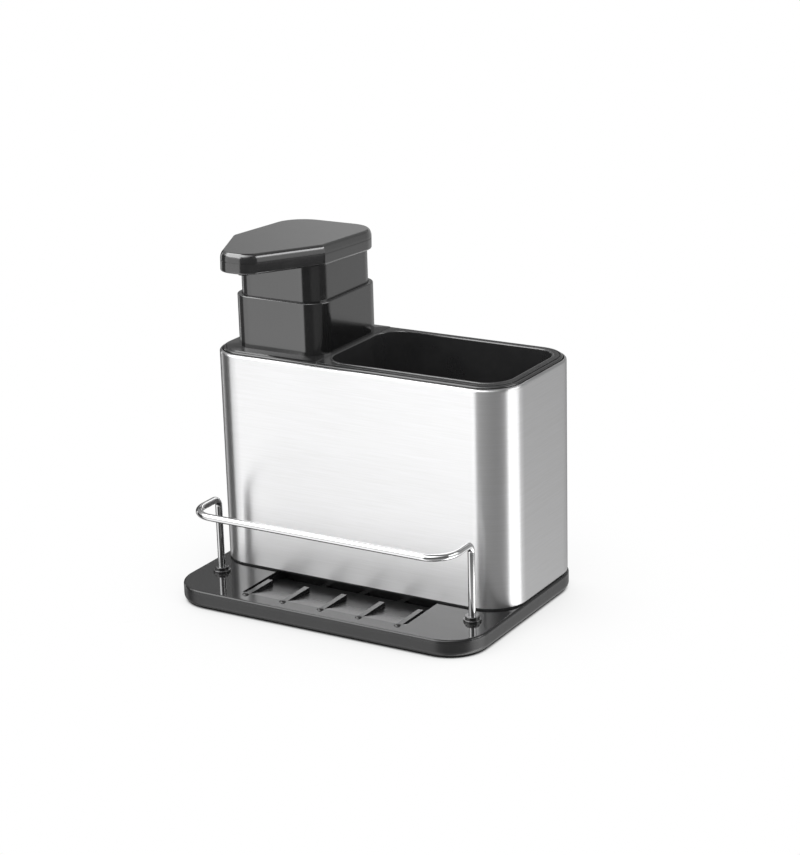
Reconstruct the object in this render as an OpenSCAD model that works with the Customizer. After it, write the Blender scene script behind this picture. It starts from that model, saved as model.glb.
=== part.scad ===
// Soap pump caddy: a brushed steel body on a black tray, with a lotion pump, a bin and a sponge rail.
// Millimetres, +Z up, +X along the long side, -Y to the front.
// The origin lies on the table, under the middle of the tray.

/* [Base tray] */
// Length of the tray along the long side
base_l = 192; // [150:1:260]
// Depth of the tray from front to back
base_d = 135; // [110:1:180]
// Height of the tray above its lower rim
base_h = 9.6; // [8:0.1:14]
// Plan radius of the tray corners
base_corner_r = 22.5; // [12:0.5:30]
// Rounding of the upper edge of the tray
base_top_edge = 1.2; // [0.4:0.1:3]
// Rounding of the lower edge of the tray
base_low_edge = 2.6; // [0.6:0.1:4]
// Thickness of the tray's outer wall
base_wall = 3.2; // [2:0.1:5]
// Thickness of the tray's top skin
base_skin = 2.6; // [1.6:0.1:4]
// Distance from the tray's ends to the sloping drain floor
ramp_end_inset = 43.4; // [36:0.2:60]
// Distance from the tray's front edge to where the drain floor starts
ramp_start = 10.2; // [6:0.2:20]
// Fall of the drain floor from front to back
ramp_fall = 6.8; // [3:0.1:7.2]
// How far the drain floor runs in under the body
ramp_reach = 9.2; // [4:0.2:16]
// Depth of the drain slot from front to back
drain_slot_d = 5.4; // [3:0.2:10]
// Width of the bridges that divide the drain slot
drain_bridge_w = 4; // [2:0.2:8]
// Least thickness of the floor under the slope
ramp_skin = 2; // [1.2:0.1:3]
// Width of a sponge rib
rib_w = 3.2; // [2:0.1:5]
// Distance from the drain floor's ends to the first and last rib
rib_end_inset = 3.8; // [3:0.1:10]
// Distance from the steel's front face to a rib's back end
rib_back_gap = 13.2; // [4:0.1:18]
// Diameter of the round nub at the front of a rib
nub_d = 4; // [2:0.1:6]
// Height of a nub over the tray
nub_h = 1.1; // [0.4:0.1:2]
// Distance from the tray's front edge to the middle of a nub
nub_inset = 8.3; // [5:0.1:14]
// Height of the low wall that locates the body
curb_h = 4; // [2:0.1:8]
// Thickness of the locating wall
curb_t = 1.8; // [1:0.1:3]
// Play between the locating wall and the body shell
curb_gap = 0.3; // [0.1:0.05:0.8]

/* [Feet and screws] */
// Diameter of a rubber foot
foot_d = 12; // [8:0.5:18]
// Thickness of a rubber foot
foot_t = 2.2; // [1.4:0.1:4]
// How far a foot stands out under the tray
foot_stand = 1; // [0.5:0.1:3]
// Distance from the tray's long ends to a foot's middle
foot_inset_x = 26; // [16:0.5:40]
// Distance from the tray's front and back to a foot's middle
foot_inset_y = 11.5; // [9:0.5:24]
// Thickness of plastic around a foot
foot_rim = 1.8; // [1:0.1:3]
// Shank diameter of a frame screw
screw_d = 3; // [2.5:0.1:4]
// Length of a frame screw under its head
screw_l = 14; // [10:0.5:24]
// Head diameter of a frame screw
screw_head_d = 5.6; // [4.5:0.1:8]
// Head height of a frame screw
screw_head_h = 2; // [1.4:0.1:3]
// Width across the flats of the driver recess
screw_drive_w = 2.4; // [1.6:0.1:4]
// Width of one slot of the driver recess
screw_slot_w = 0.7; // [0.4:0.05:1.2]
// Depth of the driver recess
screw_drive_h = 1.2; // [0.6:0.1:1.6]
// Thickness of tray clamped under a screw head
screw_grip = 5; // [3:0.1:7]
// Play round a screw in the tray
screw_gap = 0.3; // [0.1:0.05:0.6]
// Wall of the tray's screw well
well_t = 1.6; // [1:0.1:3]

/* [Steel sleeve] */
// Distance of the steel's ends from the tray's ends
body_end_inset = 0.8; // [0.2:0.1:3]
// Share of the tray's depth that the steel body takes
body_share = 0.652; // [0.6:0.002:0.7]
// Height of the steel sleeve
sleeve_h = 123.4; // [90:0.2:170]
// Plan radius of the steel body's corners
body_corner_r = 21.3; // [12:0.1:30]
// Thickness of the steel sheet
sheet_t = 0.8; // [0.5:0.05:1.2]
// Outer radius of the edge that is rolled in at the top
hem_r = 1.4; // [1:0.1:2.4]
// Distance of the steel's back face from the tray's back edge
body_back_inset = 0.8; // [0.2:0.1:3]
// Thickness of the black seal strip under the sleeve
seal_t = 1; // [0.6:0.1:2]
// Distance of the seal strip's edge from the steel's face
seal_inset = 0.4; // [0.1:0.1:1]
// Width of the seal strip
seal_w = 2.4; // [1.4:0.1:4]

/* [Body shell] */
// Wall thickness of the moulded shell inside the sleeve
shell_t = 1.6; // [1.2:0.1:3]
// Play between the shell and the steel sheet
shell_gap = 0.2; // [0.1:0.05:0.5]
// Width of the dark gap between the steel edge and the rim bead
rim_gap = 0.6; // [0.3:0.05:1.2]
// Height of the rim bead over the steel edge
bead_rise = 1.2; // [0.6:0.1:3]
// Rounding of the bead's outer edge
bead_edge = 0.5; // [0.2:0.05:1]
// Height of the deck over the steel edge
deck_rise = 1.8; // [1:0.1:4]
// Thickness of the pump deck
deck_t = 4; // [3:0.1:6]
// Distance from the steel's face to the edge of the deck field
field_inset = 4; // [3.4:0.1:6]
// Width of the groove between bead and field
groove_w = 0.6; // [0.3:0.05:1.2]
// Depth of that groove under the deck
groove_h = 1.3; // [0.7:0.1:2]
// Diameter of a screw boss
boss_d = 8.2; // [7:0.1:11]
// Diameter of the boss's tip that stands on the tray
boss_tip_d = 6.6; // [5:0.1:9]
// Height of a screw boss over the tray
boss_h = 16; // [12:0.5:24]
// Depth of a boss's pilot hole
pilot_h = 11; // [8:0.5:18]

/* [Bin] */
// Distance from the pump head's side to the bin's opening
bin_head_gap = 1.8; // [1.6:0.1:10]
// Distance from the right end of the steel to the opening
bin_right_inset = 7.6; // [5:0.1:14]
// Distance from the front and back of the steel to the opening
bin_side_inset = 8.8; // [5:0.1:14]
// Corner radius of the opening
bin_corner_r = 14; // [8:0.5:24]
// Wall thickness of the bin
bin_t = 1.5; // [1:0.1:3]
// Thickness of the bin's floor
bin_floor_t = 2; // [1:0.1:4]
// Height of the bin's underside over the tray
bin_lift = 18.4; // [16.4:0.2:40]
// Thickness of the bin's flange
flange_t = 2; // [1.4:0.1:3]
// Play between the bin and the shell
bin_gap = 0.3; // [0.2:0.05:0.8]
// Diameter of a drain hole in the bin floor
drain_hole_d = 5; // [3:0.2:8]
// Distance from the bin opening's ends to the first and last drain holes
drain_end_inset = 19; // [10:0.5:24]
// Distance from the bin opening's front and back to the drain holes
drain_side_inset = 17.2; // [10:0.2:20]

/* [Soap reservoir] */
// Distance from the left end of the steel to the reservoir
tank_left_inset = 11.4; // [9:0.1:13]
// Play between the reservoir and the bin
tank_bin_gap = 1.9; // [1:0.1:4]
// Distance from the steel's face to the reservoir, front and back
tank_side_inset = 5.2; // [5:0.1:10]
// Corner radius of the reservoir
tank_corner_r = 26; // [14:0.5:30]
// Wall thickness of the reservoir
tank_t = 1.6; // [1:0.1:3]
// Distance from the deck's underside down to the reservoir's shoulder
tank_drop = 4.8; // [2:0.1:12]
// Outer diameter of the reservoir's neck
neck_d = 46; // [36:0.5:50]
// Wall thickness of the neck
neck_t = 2.5; // [1.6:0.1:4]
// Play between neck and deck hole
neck_gap = 0.3; // [0.1:0.05:0.8]
// Play between the neck's top and the pump collar
neck_top_gap = 0.3; // [0.1:0.05:1]

/* [Pump collar] */
// Distance from the left end of the steel to the pump's axis
pump_inset = 40.4; // [36:0.2:60]
// Outer width of the collar along the long side
collar_w = 59.5; // [44:0.1:70]
// Outer depth of the collar
collar_d = 66.2; // [44:0.1:76]
// Outer corner radius of the collar
collar_corner_r = 12.4; // [6:0.1:18]
// Height of the collar over the deck
collar_h = 29.7; // [18:0.1:44]
// Rounding of the collar's top edge
collar_edge = 0.6; // [0.2:0.1:0.9]
// Thickness of the floor inside the collar
web_t = 3; // [2:0.1:5]
// Outer diameter of the spigot that plugs the neck
spigot_d = 40.4; // [30:0.1:44]
// Wall thickness of the spigot
spigot_t = 3; // [2:0.1:4]
// Length of the spigot
spigot_h = 9; // [6:0.1:16]
// Section width of the neck gasket
gasket_w = 2; // [1:0.1:3]
// Distance of the gasket over the spigot's end
gasket_rise = 3; // [1.5:0.1:6]
// Radial play of the gasket in the neck
gasket_gap = 0.04; // [0.02:0.01:0.1]

/* [Pump head] */
// Width of the sliding skirt under the head
skirt_w = 54.9; // [40:0.1:66]
// Depth of the sliding skirt
skirt_d = 62.2; // [40:0.1:72]
// Corner radius of the skirt
skirt_corner_r = 11.7; // [5:0.1:16]
// Wall thickness of the skirt
skirt_t = 2; // [1.2:0.1:3]
// Play between skirt and collar
skirt_gap = 0.3; // [0.2:0.05:0.6]
// How deep the skirt reaches into the collar at rest
skirt_overlap = 11.5; // [4:0.1:16]
// Half width of the head
head_half_w = 30.6; // [24:0.1:40]
// Distance from the pump axis to the head's back
head_back = 36.1; // [26:0.1:46]
// Distance from the pump axis to the shoulders where the head narrows
head_shoulder = 26.2; // [16:0.1:36]
// Distance from the pump axis to the nose
head_front = 70.1; // [46:0.1:90]
// Half width at the nose before rounding
nose_half_w = 9.2; // [8:0.1:16]
// Corner radius at the head's back
head_back_r = 18.2; // [8:0.1:24]
// Corner radius at the shoulders
head_shoulder_r = 4; // [2:0.1:14]
// Corner radius at the nose
head_nose_r = 11.3; // [3:0.1:12]
// Height of the head's top over the collar's top, at the pump axis
head_rise = 31.7; // [22:0.1:50]
// Thickness of the cap plate
cap_t = 5; // [3:0.1:8]
// Thickness of the head body under the cap
head_t = 6.3; // [5:0.1:10]
// Rise of the head towards the nose, in degrees
head_pitch = 2.35; // [0:0.05:6]
// Rounding of the cap's upper edge
cap_edge = 2; // [0.4:0.1:3]
// Rounding of the head body's lower edge
head_edge = 1; // [0.4:0.1:2]
// Depth of the seam groove round the head
seam_in = 0.5; // [0.2:0.05:1]
// Height of the seam groove
seam_h = 0.5; // [0.2:0.05:1]
// Width of the rim that locates the cap on the head body
cap_lip_w = 2.4; // [1.4:0.1:4]
// Height of the locating rim under the cap
cap_lip_h = 1.4; // [0.8:0.1:2]
// Distance of the locating rim from the head's side
cap_lip_inset = 3; // [2:0.1:6]
// Play between the locating rim and its groove
cap_lip_gap = 0.1; // [0.05:0.05:0.3]
// Diameter of the soap channel in the head
channel_d = 3.6; // [2:0.1:4.4]
// Diameter of the spout tip
tip_d = 7; // [5:0.1:9]
// How far the spout tip stands out under the head
tip_out = 2.2; // [1:0.1:5]
// Length of the spout tip inside the head
tip_in = 3; // [2:0.1:4]
// Distance of the spout tip from the nose
tip_inset = 10.5; // [4.6:0.1:14]

/* [Pump engine] */
// Stroke of the pump head
stroke = 14; // [6:0.5:14]
// Outer diameter of the pump cylinder
cyl_d = 18; // [14:0.1:24]
// Bore of the pump cylinder
cyl_bore = 15; // [11:0.1:20]
// Length of the cylinder under its flange
cyl_l = 54; // [40:0.5:62]
// Flange diameter of the cylinder
cyl_flange_d = 28; // [20:0.5:34]
// Flange thickness of the cylinder
cyl_flange_t = 1.8; // [1:0.1:3]
// Depth to which the flange is let into the collar's floor
cyl_seat_h = 1.2; // [0.6:0.1:2]
// Play between the cylinder and the collar's hole
cyl_gap = 0.15; // [0.05:0.05:0.4]
// Width of the ring that holds the flange in the collar
keeper_t = 2; // [1:0.1:4]
// Height of that ring over the collar's floor
keeper_h = 2.6; // [1:0.1:4]
// Height of the stem guide over the cylinder flange
guide_h = 4; // [2:0.1:8]
// Length of the guide's plug in the cylinder
guide_plug_h = 6; // [3:0.1:10]
// Radial play of sliding and pressed fits
fit_gap = 0.05; // [0.01:0.01:0.1]
// Outer diameter of the pump stem
stem_d = 7; // [5:0.1:9]
// Bore of the pump stem
stem_bore = 3.4; // [2:0.1:5]
// Diameter of the foot at the stem's lower end
stem_foot_d = 12; // [9:0.1:14]
// Height of the stem's foot
stem_foot_h = 1.6; // [1:0.1:3]
// Height of the piston seal
piston_h = 8; // [5:0.1:12]
// Width of the waist round the piston seal
piston_waist_in = 1; // [0.5:0.1:2]
// Height of each sealing lip of the piston
piston_lip_h = 1.6; // [0.8:0.1:3]
// Play between the piston and the guide's plug at rest
piston_rest_gap = 0.4; // [0.2:0.1:1]
// Depth to which the stem enters the head
socket_h = 15; // [8:0.5:20]
// Outer diameter of the socket under the head
socket_d = 13; // [10:0.1:18]
// Distance from the pressed socket to the stem guide
socket_gap = 1.6; // [0.6:0.1:4]
// Diameter of the outlet ball
outlet_ball_d = 4.4; // [3.6:0.1:5.4]
// Lift of the outlet ball
outlet_lift = 1; // [0.4:0.1:2]
// Diameter of the inlet ball
inlet_ball_d = 6; // [5:0.1:8]
// Lift of the inlet ball
inlet_lift = 1; // [0.4:0.1:2]
// Diameter of the passage under the inlet ball
inlet_hole_d = 4.6; // [3:0.1:6]
// Radial play of the balls in their chambers
ball_gap = 0.5; // [0.3:0.05:1]
// Play between a resting ball and its seat
ball_rest_gap = 0.02; // [0.01:0.01:0.05]
// Thickness of the cylinder's floor
cyl_floor_t = 2; // [1:0.1:4]
// Length of the passage under the inlet ball
inlet_hole_h = 2; // [1:0.1:4]
// Thickness of the ball retainer
retainer_t = 3; // [2:0.1:5]
// Diameter of the passages through the retainer
retainer_hole_d = 2.4; // [1.5:0.1:3]
// Distance of those passages from the axis
retainer_hole_r = 3.4; // [2:0.1:5]
// Wire diameter of the return spring
spring_wire = 0.9; // [0.6:0.05:1.4]
// Outer diameter of the return spring
spring_d = 11.6; // [8:0.1:14]
// Number of open curls in the return spring
spring_curls = 7; // [5:1:12]
// Gap between the closed end curls of the spring
spring_end_gap = 0.45; // [0.42:0.01:0.8]
// Outer diameter of the dip tube
tube_d = 6.4; // [5:0.1:8]
// Bore of the dip tube
tube_bore = 4.4; // [3:0.1:6]
// Diameter of the nipple that holds the dip tube
nipple_d = 10.4; // [9:0.1:14]
// Depth to which the dip tube enters the nipple
tube_in = 6; // [3:0.5:10]
// Distance from the dip tube's end to the reservoir's floor
tube_foot_gap = 3.6; // [2:0.1:8]

/* [Wire rail] */
// Diameter of the rail's wire
wire_d = 4; // [3:0.1:5]
// Distance from the tray's ends to the rail's legs
rail_end_inset = 14.8; // [10:0.1:24]
// Distance of the legs from the steel's front face
rail_leg_out = 14; // [10:0.1:24]
// Distance from the tray's front edge to the rail's front run
rail_front_inset = 3.8; // [0:0.1:10]
// Height of the rail's middle line over the tray
rail_h = 43.7; // [24:0.1:70]
// Bend radius at the top of a leg
rail_leg_bend = 4.4; // [3:0.1:10]
// Bend radius at the front corners
rail_front_bend = 14.5; // [6:0.1:20]
// How far a leg reaches below the tray's top
rail_leg_depth = 8; // [6:0.1:9]
// Flange diameter of a rail bushing
bush_flange_d = 10; // [8:0.1:14]
// Flange height of a rail bushing
bush_flange_h = 1.3; // [0.6:0.1:3]
// Upper step diameter of a rail bushing
bush_step_d = 8; // [6:0.1:10]
// Height of a rail bushing over the tray
bush_h = 3; // [1.6:0.1:6]
// Diameter of the bushing's part in the tray
bush_plug_d = 6.8; // [5.4:0.1:8]
// Depth of the bushing's part in the tray
bush_plug_h = 4.4; // [2:0.1:6]
// Diameter of the boss round a bushing
bush_boss_d = 11; // [9:0.1:15]
// Depth of that boss below the tray's top
bush_boss_h = 6; // [4:0.1:8]
// Diameter of a lock washer
washer_d = 9; // [7:0.1:12]
// Thickness of a lock washer
washer_t = 0.8; // [0.4:0.1:1.5]
// Number of notches in a lock washer
washer_notches = 4; // [3:1:8]
// Width of a lock washer's notch
washer_notch_w = 0.9; // [0.5:0.1:1.5]
// Depth of a lock washer's notch
washer_notch_l = 1.4; // [0.6:0.1:2]

/* [Hidden] */
// Smoothness of round faces
$fn = 96;
// Smoothness of the head's plan and of its rounded edges
head_fn = 48;
head_edge_fn = 16;
// Small overrun of cutting tools
over = 0.5;

// Heights, from the table up
base_z0 = foot_stand;
base_z = base_z0 + base_h;
shell_z0 = base_z + seal_t;
sleeve_z = shell_z0 + sleeve_h;
bead_z = sleeve_z + bead_rise;
deck_z = sleeve_z + deck_rise;
deck_z0 = deck_z - deck_t;
collar_z = deck_z + collar_h;
head_z = collar_z + head_rise;
seam_z = head_z - cap_t;
head_z0 = seam_z - head_t;

// Steel body in plan
body_l = base_l - 2 * body_end_inset;
body_d = base_d * body_share;
body_y1 = base_d / 2 - body_back_inset;
body_y0 = body_y1 - body_d;
body_y = (body_y0 + body_y1) / 2;
neck_inset = hem_r + rim_gap;
shell_out = sheet_t + shell_gap;
shell_in = shell_out + shell_t;

// Pump axis
pump_x = pump_inset - body_l / 2;
pump_y = body_y;

// Tray
ramp_half_l = base_l / 2 - ramp_end_inset;
ramp_y0 = ramp_start - base_d / 2;
ramp_y1 = body_y0 + ramp_reach;
rib_pitch = (ramp_half_l - rib_end_inset) / 2;
rib_y1 = body_y0 - rib_back_gap;
nub_y = nub_inset - base_d / 2;
slot_y0 = ramp_y1 - drain_slot_d;

// Feet and screws
foot_x = base_l / 2 - foot_inset_x;
foot_y = base_d / 2 - foot_inset_y;
boss_reach = body_corner_r - seal_inset - seal_w - curb_gap - boss_tip_d / 2;
boss_x = body_l / 2 - body_corner_r + boss_reach * cos(45);
boss_y0 = body_y0 + body_corner_r - boss_reach * cos(45);
boss_y1 = body_y1 - body_corner_r + boss_reach * cos(45);
screw_z = base_z - screw_grip;

// Bin
bin_x1 = body_l / 2 - bin_right_inset;
bin_x0 = pump_x + head_half_w + bin_head_gap;
bin_y0 = body_y0 + bin_side_inset;
bin_y1 = body_y1 - bin_side_inset;
drain_pitch_x = (bin_x1 - bin_x0 - 2 * drain_end_inset) / 4;
drain_pitch_y = (bin_y1 - bin_y0 - 2 * drain_side_inset) / 2;
bin_z0 = base_z + bin_lift;
ledge_z = deck_z - flange_t;
flange_x1 = body_l / 2 - field_inset;
flange_y0 = body_y0 + field_inset;
flange_y1 = body_y1 - field_inset;
flange_r = body_corner_r - field_inset;

// Reservoir
tank_x0 = tank_left_inset - body_l / 2;
tank_x1 = bin_x0 - bin_t - tank_bin_gap;
tank_r = min(tank_corner_r, (tank_x1 - tank_x0) / 2 - tank_t);
tank_y0 = body_y0 + tank_side_inset;
tank_y1 = body_y1 - tank_side_inset;
tank_z1 = deck_z0 - tank_drop;
neck_z = deck_z - neck_top_gap;
neck_bore = neck_d - 2 * neck_t;
gasket_d = neck_bore - 2 * gasket_gap;
gasket_z = deck_z - spigot_h + gasket_rise;

// Pump engine
web_z = deck_z + web_t;
flange_z0 = web_z - cyl_seat_h;
flange_z = flange_z0 + cyl_flange_t;
guide_z = flange_z + guide_h;
plug_z0 = flange_z - guide_plug_h;
piston_z = plug_z0 - piston_rest_gap;
piston_z0 = piston_z - piston_h;
stem_z0 = piston_z0 - stem_foot_h;
cyl_z0 = flange_z0 - cyl_l;
bore_z0 = cyl_z0 + cyl_floor_t;
inlet_room_h = inlet_ball_d + inlet_lift;
outlet_room_h = outlet_ball_d + outlet_lift;
seat_z = bore_z0 - inlet_room_h;
nipple_z0 = seat_z - inlet_hole_h - tube_in;
tube_z0 = base_z + tank_t + tube_foot_gap;
spring_z0 = bore_z0 + retainer_t;
socket_z0 = guide_z + stroke + socket_gap;
stem_z = socket_z0 + socket_h;
skirt_z0 = collar_z - skirt_overlap;
channel_z = head_z0 + (head_t - cap_lip_h - cap_lip_gap) / 2;
tip_y = pump_y - head_front + tip_inset;

// Wire rail
rail_z = base_z + rail_h;
leg_y = body_y0 - rail_leg_out;
run_y = rail_front_inset - base_d / 2;
rail_half_l = base_l / 2 - rail_end_inset;

// Head in plan, anticlockwise from the nose
head_points = [
    [pump_x - nose_half_w, pump_y - head_front],
    [pump_x + nose_half_w, pump_y - head_front],
    [pump_x + head_half_w, pump_y - head_shoulder],
    [pump_x + head_half_w, pump_y + head_back],
    [pump_x - head_half_w, pump_y + head_back],
    [pump_x - head_half_w, pump_y - head_shoulder]
];
head_radii = [head_nose_r, head_nose_r, head_shoulder_r, head_back_r, head_back_r, head_shoulder_r];
lip_radii = [for (r = head_radii) max(r, cap_lip_inset + 2 * cap_lip_w)];

black = [0.1, 0.1, 0.105];
dark_rubber = [0.06, 0.06, 0.065];
steel = [0.74, 0.74, 0.75];
bright_wire = [0.85, 0.86, 0.88];
clear_plastic = [0.86, 0.89, 0.9];
white_plastic = [0.93, 0.93, 0.92];

// Direction of a vector
function way(v) = v / norm(v);
// Point number i of a closed outline
function at(p, i) = p[(i + len(p)) % len(p)];
// Directions from corner i to its neighbours
function way_back(p, i) = way(at(p, i - 1) - at(p, i));
function way_on(p, i) = way(at(p, i + 1) - at(p, i));
// Half the angle inside corner i
function half_angle(p, i) = acos(way_back(p, i) * way_on(p, i)) / 2;
// Middle of the arc that rounds corner i
function arc_middle(p, r, i) = at(p, i) + way(way_back(p, i) + way_on(p, i)) * r[i] / sin(half_angle(p, i));
// Outward directions of the edges before and after corner i
function out_before(p, i) = [-way_back(p, i)[1], way_back(p, i)[0]];
function out_after(p, i) = [way_on(p, i)[1], -way_on(p, i)[0]];
// Ends of the arc at corner i, moved in by a distance
function arc_start(p, r, i, inset) = arc_middle(p, r, i) + out_before(p, i) * (r[i] - inset);
function arc_end(p, r, i, inset) = arc_middle(p, r, i) + out_after(p, i) * (r[i] - inset);

// Corners of an upright rectangle, anticlockwise from front left
function box_points(x0, x1, y0, y1) = [[x0, y0], [x1, y0], [x1, y1], [x0, y1]];
function same_radii(r) = [r, r, r, r];
// The steel body's rectangle moved in by a distance
function body_points(inset) = box_points(
    inset - body_l / 2, body_l / 2 - inset, body_y0 + inset, body_y1 - inset
);

// Convex outline with rounded corners
module outline(p, r, inset = 0) {
    last = len(p) - 1;
    polygon([for (i = [0:last]) each [arc_start(p, r, i, inset), arc_end(p, r, i, inset)]]);
    for (i = [0:last]) {
        translate(arc_middle(p, r, i)) circle(r = r[i] - inset);
    }
}

// Outline of the steel body moved in by a distance
module body_outline(inset) {
    outline(body_points(inset), same_radii(body_corner_r - inset));
}

// Quarter disc that rounds an edge
module quarter(e) {
    intersection() {
        circle(r = e);
        square([e, e]);
    }
}

// Side profile of a plate's rim: from x0 inside to x1 outside, and from z0 up to z1
module rim_profile(x0, x1, z0, z1, top_e, low_e) {
    translate([x0, z0 + low_e]) square([x1 - x0, z1 - z0 - top_e - low_e]);
    if (top_e > 0) {
        translate([x0, z1 - top_e]) square([x1 - x0 - top_e, top_e]);
        translate([x1 - top_e, z1 - top_e]) quarter(top_e);
    }
    if (low_e > 0) {
        translate([x0, z0]) square([x1 - x0 - low_e, low_e]);
        translate([x1 - low_e, z0 + low_e]) mirror([0, 1]) quarter(low_e);
    }
}

// Runs a side profile, drawn out from the arc's middle, round corner i of a convex outline
module round_corner(p, r, i) {
    m = arc_middle(p, r, i);
    start = out_before(p, i);
    translate([m[0], m[1], 0]) rotate([0, 0, atan2(start[1], start[0])]) {
        rotate_extrude(angle = 180 - 2 * half_angle(p, i)) children();
    }
}

// Runs a side profile, drawn in from the edge at zero, along the straight edge that follows corner i
module along_edge(p, r, i) {
    j = (i + 1) % len(p);
    a = arc_end(p, r, i, 0);
    b = arc_start(p, r, j, 0);
    n = out_after(p, i);
    translate([b[0], b[1], 0]) rotate([90, 0, atan2(n[1], n[0])]) linear_extrude(norm(b - a)) children();
}

// Upright plate with rounded upper and lower edges
module soft_plate(p, r, z0, z1, top_e, low_e = 0) {
    last = len(p) - 1;
    w = (max(top_e, low_e) + min(r)) / 2;
    for (i = [0:last]) {
        round_corner(p, r, i) rim_profile(0, r[i], z0, z1, top_e, low_e);
        along_edge(p, r, i) rim_profile(-w, 0, z0, z1, top_e, low_e);
    }
    core = (max(top_e, low_e) + w) / 2;
    translate([0, 0, z0]) linear_extrude(z1 - z0) {
        polygon([for (i = [0:last]) each [arc_start(p, r, i, core), arc_end(p, r, i, core)]]);
    }
}

// Plan of the head moved in by a distance, with given corner radii
module head_outline(r, inset) {
    hull() for (i = [0:len(r) - 1]) {
        translate(arc_middle(head_points, r, i)) circle(r = r[i] - inset, $fn = head_fn);
    }
}

// Plate with the head's plan, blended round its corners and its upper and lower edges
module head_plate(z0, z1, top_e, low_e) {
    hull() for (i = [0:len(head_radii) - 1]) {
        translate(arc_middle(head_points, head_radii, i)) rotate_extrude($fn = head_fn) {
            rim_profile(0, head_radii[i], z0, z1, top_e, low_e, $fn = head_edge_fn);
        }
    }
}

// Ring standing on z0, from its bore to its outside
module ring(outer_d, inner_d, z0, z1) {
    translate([0, 0, z0]) difference() {
        cylinder(d = outer_d, h = z1 - z0);
        translate([0, 0, -over]) cylinder(d = inner_d, h = z1 - z0 + 2 * over);
    }
}

// Copies at the four frame screws, at the four feet, at the rail's legs, and at the pump's axis
module at_screws() {
    for (x = [-boss_x, boss_x], y = [boss_y0, boss_y1]) {
        translate([x, y, 0]) children();
    }
}

module at_feet() {
    for (x = [-foot_x, foot_x], y = [-foot_y, foot_y]) {
        translate([x, y, 0]) children();
    }
}

module at_legs() {
    for (x = [-rail_half_l, rail_half_l]) {
        translate([x, leg_y, 0]) children();
    }
}

module at_pump() {
    translate([pump_x, pump_y, 0]) children();
}

// Profile in the side plane, drawn as depth and height, spread along the long side between two ends
module along(x0, x1) {
    translate([x0, 0, 0]) rotate([90, 0, 90]) linear_extrude(x1 - x0) children();
}

// Height of the drain floor at a distance along the depth
function ramp_z(y) = base_z - ramp_fall * (y - ramp_y0) / (ramp_y1 - ramp_y0);

module base_tray() {
    points = box_points(-base_l / 2, base_l / 2, -base_d / 2, base_d / 2);
    radii = same_radii(base_corner_r);
    roof_z = base_z - base_skin;
    color(black) {
        difference() {
            union() {
                difference() {
                    soft_plate(points, radii, base_z0, base_z, base_top_edge, base_low_edge);
                    translate([0, 0, base_z0 - over]) linear_extrude(roof_z - base_z0 + over) {
                        outline(points, radii, base_wall);
                    }
                }
                along(-ramp_half_l - ramp_skin, ramp_half_l + ramp_skin) polygon([
                    [ramp_y0 - ramp_skin, roof_z + over],
                    [ramp_y0 - ramp_skin, ramp_z(ramp_y0) - base_skin],
                    [ramp_y1 + ramp_skin, ramp_z(ramp_y1) - ramp_skin],
                    [ramp_y1 + ramp_skin, roof_z + over]
                ]);
                at_feet() translate([0, 0, base_z0]) {
                    cylinder(d = foot_d + 2 * foot_rim, h = base_h - base_skin + over);
                }
                at_screws() translate([0, 0, base_z0]) {
                    cylinder(d = screw_head_d + 2 * screw_gap + 2 * well_t, h = base_h - base_skin + over);
                }
                at_legs() translate([0, 0, base_z - bush_boss_h]) {
                    cylinder(d = bush_boss_d, h = bush_boss_h - base_skin + over);
                }
                difference() {
                    translate([0, 0, base_z - base_skin / 2]) linear_extrude(curb_h + base_skin / 2) {
                        body_outline(shell_in + curb_gap);
                    }
                    translate([0, 0, base_z]) linear_extrude(curb_h + over) {
                        body_outline(shell_in + curb_gap + curb_t);
                    }
                    at_screws() translate([0, 0, base_z]) {
                        cylinder(d = boss_d + 2 * curb_gap, h = curb_h + over);
                    }
                }
            }
            along(-ramp_half_l, ramp_half_l) polygon([
                [ramp_y0, base_z],
                [ramp_y1, ramp_z(ramp_y1)],
                [ramp_y1, base_z + curb_h + over],
                [ramp_y0, base_z + curb_h + over]
            ]);
            slot_cell = (2 * ramp_half_l - drain_bridge_w) / 4;
            for (i = [0:3]) {
                translate([i * slot_cell - ramp_half_l + drain_bridge_w, slot_y0, -over]) {
                    cube([slot_cell - drain_bridge_w, drain_slot_d, base_z]);
                }
            }
            at_feet() translate([0, 0, -over]) cylinder(d = foot_d + 2 * fit_gap, h = foot_t + over);
            at_screws() {
                translate([0, 0, -over]) cylinder(d = screw_head_d + 2 * screw_gap, h = screw_z + over);
                cylinder(d = screw_d + 2 * screw_gap, h = base_z + over);
            }
            at_legs() {
                cylinder(d = wire_d + 2 * fit_gap, h = base_z + over);
                translate([0, 0, base_z - bush_plug_h]) {
                    cylinder(d = bush_plug_d + 2 * fit_gap, h = bush_plug_h + over);
                }
            }
        }
        for (i = [-2:2]) {
            along(i * rib_pitch - rib_w / 2, i * rib_pitch + rib_w / 2) polygon([
                [nub_y, base_z - ramp_skin / 2],
                [rib_y1, ramp_z(rib_y1) - ramp_skin / 2],
                [rib_y1, base_z],
                [nub_y, base_z]
            ]);
            nub_r = (pow(nub_d / 2, 2) + pow(nub_h, 2)) / (2 * nub_h);
            translate([i * rib_pitch, nub_y, base_z - base_skin / 2]) intersection() {
                translate([0, 0, nub_h + base_skin / 2 - nub_r]) sphere(r = nub_r);
                cylinder(d = nub_d * 2, h = nub_h + base_skin);
            }
        }
    }
}

module rubber_feet() {
    color(dark_rubber) at_feet() {
        rotate_extrude() difference() {
            union() {
                translate([0, foot_stand / 2]) square([foot_d / 2, foot_t - foot_stand / 2]);
                square([foot_d / 2 - foot_stand / 2, foot_t]);
                translate([foot_d / 2 - foot_stand / 2, foot_stand / 2]) circle(r = foot_stand / 2);
            }
        }
    }
}

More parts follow.
